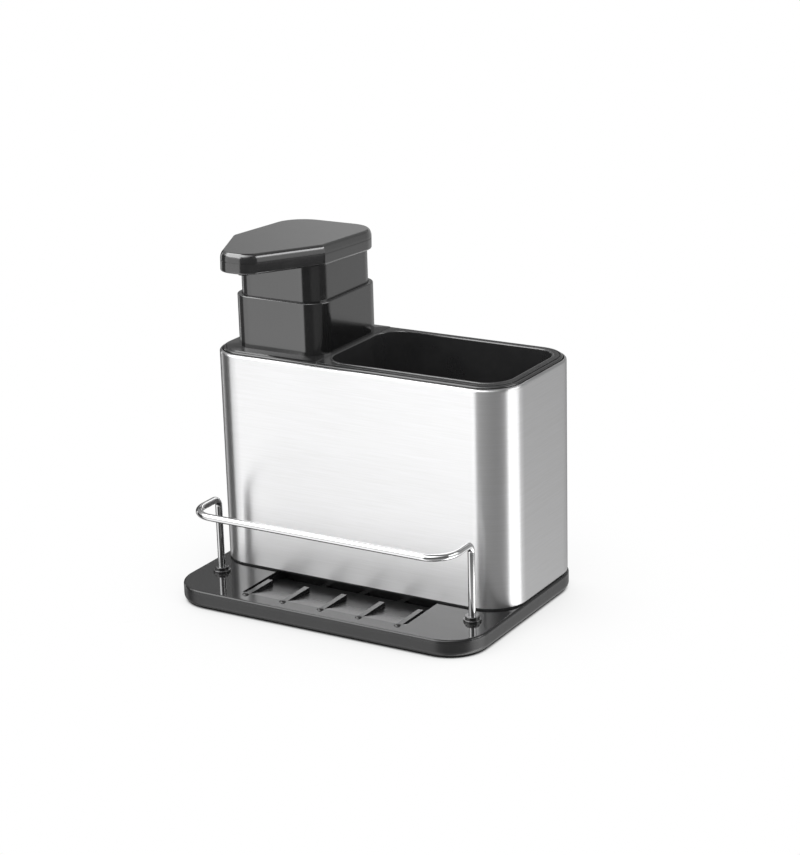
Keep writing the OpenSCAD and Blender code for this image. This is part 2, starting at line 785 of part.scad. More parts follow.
module frame_screws() {
    color(steel) at_screws() {
        difference() {
            union() {
                translate([0, 0, screw_z - screw_head_h]) cylinder(d = screw_head_d, h = screw_head_h);
                translate([0, 0, screw_z]) cylinder(d = screw_d, h = screw_l);
            }
            for (turn = [0, 90]) {
                translate([0, 0, screw_z - screw_head_h]) rotate([0, 0, turn]) {
                    cube([screw_drive_w, screw_slot_w, 2 * screw_drive_h], center = true);
                }
            }
        }
    }
}

module seal_strip() {
    color(dark_rubber) translate([0, 0, base_z]) linear_extrude(seal_t) difference() {
        body_outline(seal_inset);
        body_outline(seal_inset + seal_w);
    }
}

// Side profile of the sheet that is rolled in at the top of the sleeve
module hem_profile(x1, z) {
    translate([x1 - hem_r, z]) difference() {
        quarter(hem_r);
        circle(r = hem_r - sheet_t);
    }
}

module steel_sleeve() {
    wall_z = sleeve_z - hem_r;
    p = body_points(0);
    r = same_radii(body_corner_r);
    color(steel) {
        translate([0, 0, shell_z0]) linear_extrude(wall_z - shell_z0) difference() {
            body_outline(0);
            body_outline(sheet_t);
        }
        for (i = [0:3]) {
            round_corner(p, r, i) hem_profile(r[i], wall_z);
            along_edge(p, r, i) hem_profile(0, wall_z);
        }
    }
}

// Bin outline moved out by a distance from its opening
module bin_outline(grow) {
    points = box_points(bin_x0 - grow, bin_x1 + grow, bin_y0 - grow, bin_y1 + grow);
    outline(points, same_radii(bin_corner_r + grow));
}

module body_shell() {
    wall_z = sleeve_z - hem_r - shell_gap;
    bead_points = body_points(neck_inset);
    bead_radii = same_radii(body_corner_r - neck_inset);
    color(black) difference() {
        union() {
            difference() {
                union() {
                    translate([0, 0, shell_z0]) linear_extrude(wall_z - shell_z0) body_outline(shell_out);
                    soft_plate(bead_points, bead_radii, deck_z0, bead_z, bead_edge);
                    translate([0, 0, deck_z0]) linear_extrude(deck_t) body_outline(field_inset);
                }
                translate([0, 0, shell_z0 - over]) linear_extrude(deck_z0 - shell_z0 + over) {
                    body_outline(shell_in);
                }
                translate([0, 0, deck_z - groove_h]) linear_extrude(groove_h + over) difference() {
                    body_outline(field_inset - groove_w);
                    body_outline(field_inset);
                }
                flange_start = bin_x0 - bin_t - bin_gap;
                translate([flange_start, body_y0, ledge_z]) intersection() {
                    cube([body_l, body_d, flange_t + over]);
                    translate([-flange_start, -body_y0, 0]) linear_extrude(flange_t + over) {
                        body_outline(field_inset - groove_w);
                    }
                }
            }
            at_screws() {
                translate([0, 0, base_z]) cylinder(d = boss_tip_d, h = boss_h);
                translate([0, 0, shell_z0]) cylinder(d = boss_d, h = boss_h - seal_t);
            }
        }
        translate([0, 0, deck_z0 - over]) linear_extrude(deck_t + 2 * over) bin_outline(bin_t + bin_gap);
        at_pump() translate([0, 0, deck_z0 - over]) {
            cylinder(d = neck_d + 2 * neck_gap, h = deck_t + 2 * over);
        }
        at_screws() translate([0, 0, base_z - over]) cylinder(d = screw_d + 2 * fit_gap, h = pilot_h + over);
    }
}

module utensil_bin() {
    flange_points = box_points(bin_x0 - bin_t, flange_x1, flange_y0, flange_y1);
    color(black) difference() {
        union() {
            translate([0, 0, bin_z0]) linear_extrude(deck_z - bin_z0) bin_outline(bin_t);
            translate([0, 0, ledge_z]) linear_extrude(flange_t) {
                outline(flange_points, [bin_t, flange_r, flange_r, bin_t]);
            }
        }
        translate([0, 0, bin_z0 + bin_floor_t]) linear_extrude(deck_z - bin_z0) bin_outline(0);
        for (i = [-2:2], j = [-1:1]) {
            translate([
                (bin_x0 + bin_x1) / 2 + i * drain_pitch_x,
                body_y + j * drain_pitch_y,
                bin_z0 - over
            ]) cylinder(d = drain_hole_d, h = bin_floor_t + 2 * over);
        }
    }
}

module soap_reservoir() {
    points = box_points(tank_x0, tank_x1, tank_y0, tank_y1);
    radii = same_radii(tank_r);
    color(clear_plastic) difference() {
        union() {
            soft_plate(points, radii, base_z, tank_z1, tank_t, tank_t);
            at_pump() translate([0, 0, tank_z1 - tank_t]) cylinder(d = neck_d, h = neck_z - tank_z1 + tank_t);
        }
        translate([0, 0, base_z + tank_t]) linear_extrude(tank_z1 - base_z - 2 * tank_t) {
            outline(points, radii, tank_t);
        }
        at_pump() translate([0, 0, tank_z1 - 2 * tank_t]) {
            cylinder(d = neck_bore, h = neck_z - tank_z1 + 3 * tank_t);
        }
    }
}

module neck_gasket() {
    color(dark_rubber) at_pump() ring(gasket_d, gasket_d - 2 * gasket_w, gasket_z, gasket_z + gasket_w);
}

// Upright rectangle with rounded corners about the pump's axis
function pump_box(w, d) = box_points(pump_x - w / 2, pump_x + w / 2, pump_y - d / 2, pump_y + d / 2);

module pump_collar() {
    inner_w = skirt_w + 2 * skirt_gap;
    inner_d = skirt_d + 2 * skirt_gap;
    inner_r = skirt_corner_r + skirt_gap;
    color(black) difference() {
        union() {
            difference() {
                soft_plate(
                    pump_box(collar_w, collar_d), same_radii(collar_corner_r), deck_z, collar_z, collar_edge
                );
                translate([0, 0, web_z]) linear_extrude(collar_h) {
                    outline(pump_box(inner_w, inner_d), same_radii(inner_r));
                }
            }
            at_pump() {
                ring(spigot_d, spigot_d - 2 * spigot_t, deck_z - spigot_h, deck_z + web_t / 2);
                translate([0, 0, web_z - web_t / 2]) {
                    cylinder(d = cyl_flange_d + 2 * cyl_gap + 2 * keeper_t, h = keeper_h + web_t / 2);
                }
            }
        }
        at_pump() {
            translate([0, 0, deck_z - over]) cylinder(d = cyl_d + 2 * cyl_gap, h = web_t + over);
            translate([0, 0, flange_z0]) cylinder(d = cyl_flange_d + 2 * cyl_gap, h = collar_h);
            ring(spigot_d + over, gasket_d - 2 * gasket_w, gasket_z, gasket_z + gasket_w);
        }
    }
}

module pump_cylinder() {
    color(white_plastic) at_pump() difference() {
        union() {
            translate([0, 0, cyl_z0]) cylinder(d = cyl_d, h = cyl_l);
            translate([0, 0, flange_z0]) cylinder(d = cyl_flange_d, h = cyl_flange_t);
            translate([0, 0, nipple_z0]) cylinder(d = nipple_d, h = cyl_z0 - nipple_z0 + over);
        }
        translate([0, 0, bore_z0]) cylinder(d = cyl_bore, h = cyl_l + cyl_flange_t);
        translate([0, 0, seat_z]) cylinder(d = inlet_ball_d + 2 * ball_gap, h = inlet_room_h + over);
        translate([0, 0, nipple_z0]) cylinder(d = inlet_hole_d, h = seat_z - nipple_z0 + over);
        translate([0, 0, nipple_z0 - over]) cylinder(d = tube_d + 2 * fit_gap, h = tube_in + over);
    }
}

module stem_guide() {
    color(white_plastic) at_pump() difference() {
        union() {
            translate([0, 0, flange_z]) cylinder(d = cyl_flange_d, h = guide_h);
            translate([0, 0, plug_z0]) cylinder(d = cyl_bore - 2 * fit_gap, h = guide_plug_h + over);
        }
        translate([0, 0, plug_z0 - over]) {
            cylinder(d = stem_d + 2 * fit_gap, h = guide_plug_h + guide_h + 2 * over);
        }
    }
}

module pump_stem() {
    color(white_plastic) at_pump() difference() {
        union() {
            translate([0, 0, stem_z0]) cylinder(d = stem_d, h = stem_z - stem_z0);
            translate([0, 0, stem_z0]) cylinder(d = stem_foot_d, h = stem_foot_h);
        }
        translate([0, 0, stem_z0 - over]) cylinder(d = stem_bore, h = stem_z - stem_z0 + 2 * over);
    }
}

module piston_seal() {
    seal_d = cyl_bore - 2 * fit_gap;
    color(dark_rubber) at_pump() difference() {
        ring(seal_d, stem_d, piston_z0, piston_z);
        ring(seal_d + over, seal_d - 2 * piston_waist_in, piston_z0 + piston_lip_h, piston_z - piston_lip_h);
    }
}

// Return spring: six-sided tube along a coil whose first and last turns lie close together
spring_turns = spring_curls + 2;
spring_rest_l = stem_z0 - spring_z0 - spring_wire;
spring_close = spring_wire + spring_end_gap;
spring_open = (spring_rest_l - 2 * spring_close) / spring_curls;
spring_steps = 8;
spring_sides = 6;
spring_r = (spring_d - spring_wire) / 2;
// Rise of the coil's middle line after t turns
function coil_rise(t) = t < 1 ? t * spring_close
    : t > spring_turns - 1 ? spring_rest_l - (spring_turns - t) * spring_close
    : spring_close + (t - 1) * spring_open;
// Point k on the tube's ring after t turns
function coil_point(t, k) = let (
    turn = 360 * t,
    side = 360 * k / spring_sides,
    reach = spring_r + spring_wire / 2 * cos(side)
) [
    reach * cos(turn),
    reach * sin(turn),
    spring_z0 + spring_wire / 2 + coil_rise(t) + spring_wire / 2 * sin(side)
];

module return_spring() {
    rings = spring_turns * spring_steps;
    points = [for (i = [0:rings], k = [0:spring_sides - 1]) coil_point(i / spring_steps, k)];
    sides = [
        for (i = [0:rings - 1], k = [0:spring_sides - 1]) each [
            [i * spring_sides + k, (i + 1) * spring_sides + k, i * spring_sides + (k + 1) % spring_sides],
            [
                i * spring_sides + (k + 1) % spring_sides,
                (i + 1) * spring_sides + k,
                (i + 1) * spring_sides + (k + 1) % spring_sides
            ]
        ]
    ];
    start_cap = [for (k = [1:spring_sides - 2]) [0, k, k + 1]];
    first_end = rings * spring_sides;
    end_cap = [for (k = [1:spring_sides - 2]) [first_end, first_end + k + 1, first_end + k]];
    echo(least_spring_gap = min(spring_close, spring_open) - spring_wire);
    color(steel) at_pump() polyhedron(points = points, faces = concat(sides, start_cap, end_cap));
}

module ball_retainer() {
    color(white_plastic) at_pump() difference() {
        translate([0, 0, bore_z0]) cylinder(d = cyl_bore - 2 * fit_gap, h = retainer_t);
        for (turn = [0:90:270]) {
            rotate([0, 0, turn]) translate([retainer_hole_r, 0, bore_z0 - over]) {
                cylinder(d = retainer_hole_d, h = retainer_t + 2 * over);
            }
        }
    }
}

// Height of a ball's middle over the edge of the hole it rests on
function ball_rise(ball, hole) = sqrt(pow(ball / 2, 2) - pow(hole / 2, 2)) + ball_rest_gap;

module inlet_ball() {
    color(steel) at_pump() translate([0, 0, seat_z + ball_rise(inlet_ball_d, inlet_hole_d)]) {
        sphere(d = inlet_ball_d);
    }
}

module outlet_ball() {
    color(steel) at_pump() translate([0, 0, stem_z + ball_rise(outlet_ball_d, stem_bore)]) {
        sphere(d = outlet_ball_d);
    }
}

module dip_tube() {
    color(clear_plastic) at_pump() ring(tube_d, tube_bore, tube_z0, nipple_z0 + tube_in);
}

// Leans the head back about the pump's axis, so that it rises to the nose
module lean() {
    translate([pump_x, pump_y, head_z]) rotate([-head_pitch, 0, 0]) translate([-pump_x, -pump_y, -head_z]) {
        children();
    }
}

module head_body() {
    color(black) difference() {
        union() {
            lean() {
                head_plate(head_z0, seam_z - seam_h, 0, head_edge);
                translate([0, 0, seam_z - 2 * seam_h]) linear_extrude(2 * seam_h) {
                    head_outline(head_radii, seam_in);
                }
            }
            translate([0, 0, skirt_z0]) linear_extrude(channel_z - skirt_z0) difference() {
                outline(pump_box(skirt_w, skirt_d), same_radii(skirt_corner_r));
                outline(pump_box(skirt_w, skirt_d), same_radii(skirt_corner_r), skirt_t);
            }
            at_pump() translate([0, 0, socket_z0]) cylinder(d = socket_d, h = channel_z - socket_z0);
        }
        at_pump() {
            translate([0, 0, socket_z0 - over]) cylinder(d = stem_d, h = socket_h + over);
            translate([0, 0, stem_z - over]) {
                cylinder(d = outlet_ball_d + 2 * ball_gap, h = outlet_room_h + over);
            }
            translate([0, 0, stem_z]) cylinder(d = channel_d, h = channel_z - stem_z);
        }
        lean() {
            translate([pump_x, pump_y, channel_z]) rotate([90, 0, 0]) {
                cylinder(d = channel_d, h = head_front - tip_inset);
            }
            translate([pump_x, tip_y, head_z0 - over]) cylinder(d = tip_d, h = tip_in + over);
            translate([0, 0, seam_z - cap_lip_h - cap_lip_gap]) {
                linear_extrude(cap_lip_h + cap_lip_gap + over) difference() {
                    head_outline(lip_radii, cap_lip_inset - cap_lip_gap);
                    head_outline(lip_radii, cap_lip_inset + cap_lip_w + cap_lip_gap);
                }
            }
        }
    }
}

module head_cap() {
    color(black) lean() {
        head_plate(seam_z, head_z, cap_edge, 0);
        translate([0, 0, seam_z - cap_lip_h]) linear_extrude(cap_lip_h + over) difference() {
            head_outline(lip_radii, cap_lip_inset);
            head_outline(lip_radii, cap_lip_inset + cap_lip_w);
        }
    }
}

module spout_tip() {
    color(black) lean() translate([pump_x, tip_y, 0]) {
        difference() {
            ring(tip_d, channel_d - 2 * fit_gap, head_z0 - tip_out, head_z0 + tip_in);
            translate([0, 0, head_z0 - tip_out]) difference() {
                cylinder(d = tip_d + 2 * over, h = tip_out / 4);
                cylinder(d = tip_d - tip_out / 2, h = tip_out);
            }
        }
    }
}

// Half of the rail, from the middle of its front run to the foot of the right leg
module half_rail() {
    corner_x = rail_half_l - rail_front_bend;
    arm_y = run_y + rail_front_bend;
    translate([0, run_y, rail_z]) rotate([0, 90, 0]) cylinder(d = wire_d, h = corner_x);
    translate([corner_x, arm_y, rail_z]) rotate([0, 0, -90]) rotate_extrude(angle = 90) {
        translate([rail_front_bend, 0]) circle(d = wire_d);
    }
    translate([rail_half_l, leg_y - rail_leg_bend, rail_z]) rotate([90, 0, 0]) {
        cylinder(d = wire_d, h = leg_y - rail_leg_bend - arm_y);
    }
    translate([rail_half_l, leg_y - rail_leg_bend, rail_z - rail_leg_bend]) rotate([0, -90, 180]) {
        rotate([0, 0, -90]) rotate_extrude(angle = 90) translate([rail_leg_bend, 0]) circle(d = wire_d);
    }
    translate([rail_half_l, leg_y, base_z - rail_leg_depth]) {
        cylinder(d = wire_d, h = rail_z - rail_leg_bend - base_z + rail_leg_depth);
    }
}

module wire_rail() {
    color(bright_wire) {
        half_rail();
        mirror([1, 0, 0]) half_rail();
    }
}

module rail_bushings() {
    color(black) at_legs() difference() {
        union() {
            translate([0, 0, base_z]) cylinder(d = bush_flange_d, h = bush_flange_h);
            translate([0, 0, base_z]) cylinder(d = bush_step_d, h = bush_h);
            translate([0, 0, base_z - bush_plug_h]) cylinder(d = bush_plug_d, h = bush_plug_h + over);
        }
        translate([0, 0, base_z - bush_plug_h - over]) {
            cylinder(d = wire_d, h = bush_plug_h + bush_h + 2 * over);
        }
    }
}

module lock_washers() {
    washer_z = base_z - bush_boss_h - washer_t;
    color(steel) at_legs() difference() {
        ring(washer_d, wire_d, washer_z, washer_z + washer_t);
        for (i = [0:washer_notches - 1]) {
            rotate([0, 0, i * 360 / washer_notches]) {
                translate([wire_d / 4, -washer_notch_w / 2, washer_z - over]) {
                    cube([wire_d / 4 + washer_notch_l, washer_notch_w, washer_t + 2 * over]);
                }
            }
        }
    }
}

base_tray();
rubber_feet();
frame_screws();
seal_strip();
steel_sleeve();
body_shell();
utensil_bin();
soap_reservoir();
neck_gasket();
pump_collar();
pump_cylinder();
stem_guide();
pump_stem();
piston_seal();
return_spring();
ball_retainer();
inlet_ball();
outlet_ball();
dip_tube();
head_body();
head_cap();
spout_tip();
wire_rail();
rail_bushings();
lock_washers();
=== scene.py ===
import bmesh
import bpy
import math
from mathutils import Matrix, Vector
from mathutils.geometry import delaunay_2d_cdt


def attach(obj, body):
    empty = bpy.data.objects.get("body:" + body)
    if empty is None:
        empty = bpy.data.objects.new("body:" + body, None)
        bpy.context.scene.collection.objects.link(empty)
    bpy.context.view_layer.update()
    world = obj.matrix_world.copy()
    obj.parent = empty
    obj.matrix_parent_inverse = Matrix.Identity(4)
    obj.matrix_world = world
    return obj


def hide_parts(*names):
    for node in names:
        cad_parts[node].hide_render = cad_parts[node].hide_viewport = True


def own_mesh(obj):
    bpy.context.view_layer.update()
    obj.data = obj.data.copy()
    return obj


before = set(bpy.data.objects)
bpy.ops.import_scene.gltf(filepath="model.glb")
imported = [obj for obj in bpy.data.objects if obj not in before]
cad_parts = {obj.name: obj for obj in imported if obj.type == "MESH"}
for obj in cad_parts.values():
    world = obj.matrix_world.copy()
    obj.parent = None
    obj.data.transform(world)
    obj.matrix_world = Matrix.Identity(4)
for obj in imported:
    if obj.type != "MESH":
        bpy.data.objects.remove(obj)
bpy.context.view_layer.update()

MM = 0.001
MM_PER_METRE = 1000

# Camera: where the photograph was taken from, in millimetres and degrees
CAMERA_AIM = (7.0, 18.72, 92.88)
CAMERA_AZIMUTH = 30.96
CAMERA_ELEVATION = 17.84
CAMERA_ROLL = -1.59
CAMERA_DISTANCE = 1286.9
CAMERA_LENS = 96.98
FILM_WIDTH = 36.0
CAMERA_REACH_METRES = 200

# Sizes of the object, in millimetres

# Tray: its top, and how far below the top its polish has gone and where it starts to go
TRAY_Z = 10.6
DULL_BELOW = (2.6, 0.1)

# Steel body: length, depth, the middle of its depth, and the sheet with its rolled upper edge
BODY_L = 190.4
BODY_D = 88.02
BODY_Y = 22.69
BODY_CORNER_R = 21.3
SEAL_TOP = 11.6
STEEL_TOP = 135.0
SHEET_T = 0.8
HEM_R = 1.4
HEM_MARGIN = 0.6

# Shell: the rim bead round the deck, and how near a point counts as on the bead's edge
BEAD_INSET = 2.0
BEAD_TOP = 136.2
BEAD_EDGE = 0.5
BEAD_ROUND = 1.1
NEAR_BEAD_HEIGHT = 0.01
NEAR_BEAD_SIDE = 0.02
FIELD_INSET = 4.0
DECK_TOP = 136.8

# Pump head: a rounded plate with a cover, leaning back, on a skirt that slides in the collar.
# A rounded box is given as width, depth and corner radius.
PUMP_X = -54.8
SKIRT = (54.9, 62.2, 11.7)
SKIRT_T = 2.0
SKIRT_LOW = 155.0
SKIRT_INTO_HEAD = 3.0
HEAD_TOP = 198.2
HEAD_LOW = 186.9
HEAD_SEAM = 193.2
HEAD_PITCH = 2.35
HEAD_EDGE = 1.0
CAP_ROUND_IN = 2.4
CAP_ROUND_DOWN = 4.5
SEAM_IN = 0.5
SEAM_H = 0.5
HEAD_HALF_W = 30.6
HEAD_BACK = 36.1
HEAD_SHOULDER = 26.2
HEAD_FRONT = 70.1
NOSE_HALF_W = 9.2
HEAD_RADII = (11.3, 11.3, 4.0, 18.2, 18.2, 4.0)
SOCKET_D = 13.0
SOCKET_LOW = 160.0
STEM_D = 7.0

# Bin: inner walls, flange, rounded lip and drain holes
BIN_X = (-22.4, 87.6)
BIN_SIDE = 8.8
BIN_CORNER_R = 14.0
BIN_T = 1.5
BIN_LOW = 29.0
BIN_FLOOR = 2.0
FLOOR_ROUND = 1.2
FLANGE_T = 2.0
FLANGE_LEFT = 0.02
FLANGE_EDGE = 0.1
LIP_R = 0.75
LIP_START = 150
DRAIN_D = 5.0
DRAIN_PITCH = 18.0
DRAIN_COLUMNS = range(-2, 3)
DRAIN_ROWS = range(-1, 2)

# Rail and its bushings: legs, the front run and its bends
WIRE_D = 4.0
RAIL_HALF_L = 81.2
LEG_Y = -35.32
RUN_Y = -63.7
RAIL_Z = 54.3
LEG_FOOT = 2.6
LEG_BEND = 4.4
FRONT_BEND = 14.5
BUSH_FLANGE_D = 10.0
BUSH_FLANGE_H = 1.3
BUSH_STEP_D = 8.0
BUSH_H = 3.0
BUSH_PLUG_D = 6.8
BUSH_PLUG_H = 4.4
BUSH_EDGE = 0.5

# Return spring: outer diameter, wire, ends, turns and the rise of a closed turn
SPRING_D = 11.6
SPRING_WIRE = 0.9
SPRING_LOW = 89.6
SPRING_HIGH = 124.4
SPRING_TURNS = 9
SPRING_CLOSE = 1.35

# Fineness of round shapes
CORNER_STEPS = 24
EDGE_STEPS = 6
ARC_STEPS = 12
ROUND_STEPS = 48
HOLE_STEPS = 32
BEND_STEPS = 16
WIRE_SIDES = 32
BUSH_SIDES = 64
SPRING_STEPS = 32
SPRING_SIDES = 12
LEAST_RADIUS = 0.02
SHEET_TOLERANCE = 1e-7
MERGE_METRES = 1e-6
SLIVER_METRES = 1e-7
SHARP_ANGLE = math.radians(35)


def place_camera():
    """Sets the camera where the photograph was taken from."""
    a, e, r = (math.radians(v) for v in (CAMERA_AZIMUTH, CAMERA_ELEVATION, CAMERA_ROLL))
    back = Vector((math.sin(a) * math.cos(e), -math.cos(a) * math.cos(e), math.sin(e)))
    right = Vector((math.cos(a), math.sin(a), 0))
    up = back.cross(right)
    across = right * math.cos(r) + up * math.sin(r)
    upright = up * math.cos(r) - right * math.sin(r)
    turn = Matrix((across, upright, back)).transposed().to_4x4()
    data = bpy.data.cameras.new("photo_camera")
    data.lens = CAMERA_LENS
    data.sensor_width = FILM_WIDTH
    data.clip_end = CAMERA_REACH_METRES
    camera = bpy.data.objects.new("photo_camera", data)
    place = (Vector(CAMERA_AIM) + back * CAMERA_DISTANCE) * MM
    camera.matrix_world = Matrix.Translation(place) @ turn
    bpy.context.scene.collection.objects.link(camera)
    bpy.context.scene.camera = camera


# Outlines and walls

def box_corners(x0, x1, y0, y1):
    return [(x0, y0), (x1, y0), (x1, y1), (x0, y1)]


def centred_box(middle, size):
    """Corners and radii of an upright rounded box about a middle point."""
    w, d, r = size
    x, y = middle
    return box_corners(x - w / 2, x + w / 2, y - d / 2, y + d / 2), [r] * 4


def outline(corners, radii, inset=0.0):
    """Points of a convex outline with rounded corners, drawn inward by inset, anticlockwise."""
    points = []
    n = len(corners)
    for i in range(n):
        before, here, after = (Vector(corners[(i + k) % n]) for k in (-1, 0, 1))
        d1, d2 = (here - before).normalized(), (after - here).normalized()
        n1, n2 = Vector((-d1.y, d1.x)), Vector((-d2.y, d2.x))
        turn = math.atan2(d1.cross(d2), d1.dot(d2))
        corner = here + (n1 + n2) * (inset / (1 + n1.dot(n2)))
        r = max(radii[i] - inset, LEAST_RADIUS)
        middle = corner - d1 * r * math.tan(turn / 2) + n1 * r
        start = math.atan2(-n1.y, -n1.x)
        for k in range(CORNER_STEPS + 1):
            angle = start + turn * k / CORNER_STEPS
            points.append(middle + Vector((math.cos(angle), math.sin(angle))) * r)
    return points


def circle(x, y, r, steps):
    angles = [2 * math.pi * k / steps for k in range(steps)]
    return [Vector((x + r * math.cos(angle), y + r * math.sin(angle))) for angle in angles]


def lift(points, z):
    return [Vector((p.x, p.y, z)) for p in points]


def arc(inset, z, r, start, end, steps=EDGE_STEPS):
    """Arc of a wall's section, as insets and heights, by angles in degrees from inward and up."""
    angles = [math.radians(start + (end - start) * k / steps) for k in range(steps + 1)]
    return [(inset + r * math.cos(angle), z + r * math.sin(angle)) for angle in angles]


def inside_loop(p, loop):
    """Whether a point in plan lies inside a loop of points."""
    hit = False
    for a, b in zip(loop, loop[1:] + loop[:1]):
        crossed = (a[1] > p[1]) != (b[1] > p[1])
        if crossed and p[0] < (b[0] - a[0]) * (p[1] - a[1]) / (b[1] - a[1]) + a[0]:
            hit = not hit
    return hit


class Shape:
    """Points and faces of a piece while it is being built, in millimetres."""

    def __init__(self):
        self.points = []
        self.faces = []

    def rings(self, rings, loop=False, ends=True):
        """Skins a stack of rings that have the same number of points, and closes its ends."""
        first = len(self.points)
        n = len(rings[0])
        for ring in rings:
            self.points += [Vector(p) for p in ring]
        rows = len(rings)
        for i in range(rows if loop else rows - 1):
            for k in range(n):
                a, b = first + i * n, first + ((i + 1) % rows) * n
                self.faces.append((a + k, a + (k + 1) % n, b + (k + 1) % n, b + k))
        if ends and not loop:
            self.faces.append(tuple(first + k for k in reversed(range(n))))
            self.faces.append(tuple(first + (rows - 1) * n + k for k in range(n)))
        return self

    def wall(self, plan, section, **how):
        """Skins a section of insets and heights round a plan of corners and radii."""
        return self.rings([lift(outline(*plan, inset), z) for inset, z in section], **how)

    def round(self, x, y, section, **how):
        """Skins a section of radii and heights round an upright axis."""
        return self.rings([lift(circle(x, y, r, ROUND_STEPS), z) for r, z in section], **how)

    def sheet(self, outer, holes, z):
        """A flat sheet at one height, with holes, all given as loops of points."""
        loops = [outer] + holes
        edges, start = [], 0
        for loop in loops:
            n = len(loop)
            edges += [(start + k, start + (k + 1) % n) for k in range(n)]
            start += n
        flat = [Vector(p[:2]) for loop in loops for p in loop]
        found = delaunay_2d_cdt(flat, edges, [], 0, SHEET_TOLERANCE)
        spots, triangles = found[0], found[2]
        first = len(self.points)
        self.points += [Vector((p.x, p.y, z)) for p in spots]
        for triangle in triangles:
            middle = sum((spots[k] for k in triangle), Vector((0, 0))) / 3
            if inside_loop(middle, outer) and not any(inside_loop(middle, h) for h in holes):
                self.faces.append(tuple(first + k for k in triangle))
        return self


# Finishing a piece

def settle(piece):
    """Turns a piece with modifiers into a plain mesh."""
    graph = bpy.context.evaluated_depsgraph_get()
    mesh = bpy.data.meshes.new_from_object(piece.evaluated_get(graph), depsgraph=graph)
    piece.modifiers.clear()
    old = piece.data
    piece.data = mesh
    bpy.data.meshes.remove(old)
    mesh.name = piece.name


def soften(piece, material):
    """Shades a mesh smooth between its real edges, with flat faces kept flat."""
    mesh = piece.data
    mesh.materials.clear()
    mesh.materials.append(material)
    for face in mesh.polygons:
        face.use_smooth = True
        face.material_index = 0
    mesh.set_sharp_from_angle(angle=SHARP_ANGLE)
    even = piece.modifiers.new("even_shading", "WEIGHTED_NORMAL")
    even.keep_sharp = True
    settle(piece)


def tidy_mesh(mesh):
    """Merges doubled points and turns all faces outward."""
    work = bmesh.new()
    work.from_mesh(mesh)
    bmesh.ops.remove_doubles(work, verts=work.verts, dist=MERGE_METRES)
    bmesh.ops.dissolve_degenerate(work, edges=work.edges, dist=SLIVER_METRES)
    bmesh.ops.recalc_face_normals(work, faces=work.faces)
    work.to_mesh(mesh)
    work.free()


def add_piece(name, mesh):
    piece = bpy.data.objects.new(name, mesh)
    bpy.context.scene.collection.objects.link(piece)
    return piece


def hang(piece, body, node):
    """Hangs a piece on its body, in place of a CAD node."""
    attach(piece, body)
    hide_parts(node)


def make(name, shape, material, body, node):
    """Makes a finished piece from a shape, and hangs it on its body."""
    mesh = bpy.data.meshes.new(name)
    mesh.from_pydata([p * MM for p in shape.points], [], shape.faces)
    tidy_mesh(mesh)
    piece = add_piece(name, mesh)
    soften(piece, material)
    hang(piece, body, node)


# Nodes

def connect(tree, node, inputs):
    """Gives each input of a node its value, or links it to the output of another node."""
    for key, value in inputs.items():
        if isinstance(value, bpy.types.NodeSocket):
            tree.links.new(value, node.inputs[key])
        else:
            node.inputs[key].default_value = value


def add_node(tree, kind, settings=None, inputs=None):
    """Adds a node with its settings, and with its inputs by name or number."""
    node = tree.nodes.new(kind)
    for key, value in (settings or {}).items():
        setattr(node, key, value)
    connect(tree, node, inputs or {})
    return node


def spaced(inputs):
    """Names of inputs with spaces, as Blender writes them."""
    return {key.replace("_", " "): value for key, value in inputs.items()}


def mix(tree, factor, low, high, numbers=False):
    """Mixes two colours, or two numbers. The Mix node's sockets go by number."""
    kind, first, second, result = ("FLOAT", 2, 3, 0) if numbers else ("RGBA", 6, 7, 2)
    node = add_node(tree, "ShaderNodeMix", {"data_type": kind}, {0: factor, first: low, second: high})
    return node.outputs[result]


def gray(level, blue=0.0):
    return (level, level, level * (1 + blue))


def solid(color):
    return (*color, 1)


# Materials: grains and depths in millimetres

NOISE_MOSTLY = (0.3, 0.7)
PLASTIC_IOR = 1.5


class Finish:
    """A procedural material on object coordinates."""

    def __init__(self, name, **sockets):
        self.material = bpy.data.materials.new(name)
        self.material.use_nodes = True
        self.tree = self.material.node_tree
        self.shader = self.tree.nodes["Principled BSDF"]
        self.set(**sockets)
        self.place = self.node("ShaderNodeTexCoord").outputs["Object"]

    def set(self, **sockets):
        connect(self.tree, self.shader, spaced(sockets))

    def node(self, kind, settings=None, **inputs):
        return add_node(self.tree, kind, settings, spaced(inputs))

    def noise(self, grain, detail=3.0, rough=0.5, stretch=(1, 1, 1)):
        """Noise with a grain of about this width, stretched along each axis."""
        scale = [MM_PER_METRE * (1 / (grain * s)) for s in stretch]
        place = self.node("ShaderNodeMapping", Vector=self.place, Scale=scale).outputs["Vector"]
        return self.node("ShaderNodeTexNoise", Vector=place, Scale=1.0, Detail=detail,
                         Roughness=rough).outputs["Fac"]

    def spread(self, value, low, high, at=NOISE_MOSTLY):
        """Spreads a value between low and high."""
        return self.node("ShaderNodeMapRange", Value=value, From_Min=at[0], From_Max=at[1],
                         To_Min=low, To_Max=high).outputs["Result"]

    def bump(self, height, strength, depth, under=None):
        """A relief, over another one where it is given."""
        relief = self.node("ShaderNodeBump", Height=height, Strength=strength, Distance=depth * MM)
        if under is not None:
            connect(self.tree, relief, {"Normal": under})
        return relief.outputs["Normal"]

    def surface(self, tone, painted_underside_dark, light, rough, relief):
        """Colour between two tones by a noise, with a roughness and a relief."""
        color = mix(self.tree, self.spread(tone, 0, 1), solid(painted_underside_dark), solid(light))
        self.set(Base_Color=color, Roughness=rough, Normal=relief)
        return self.material


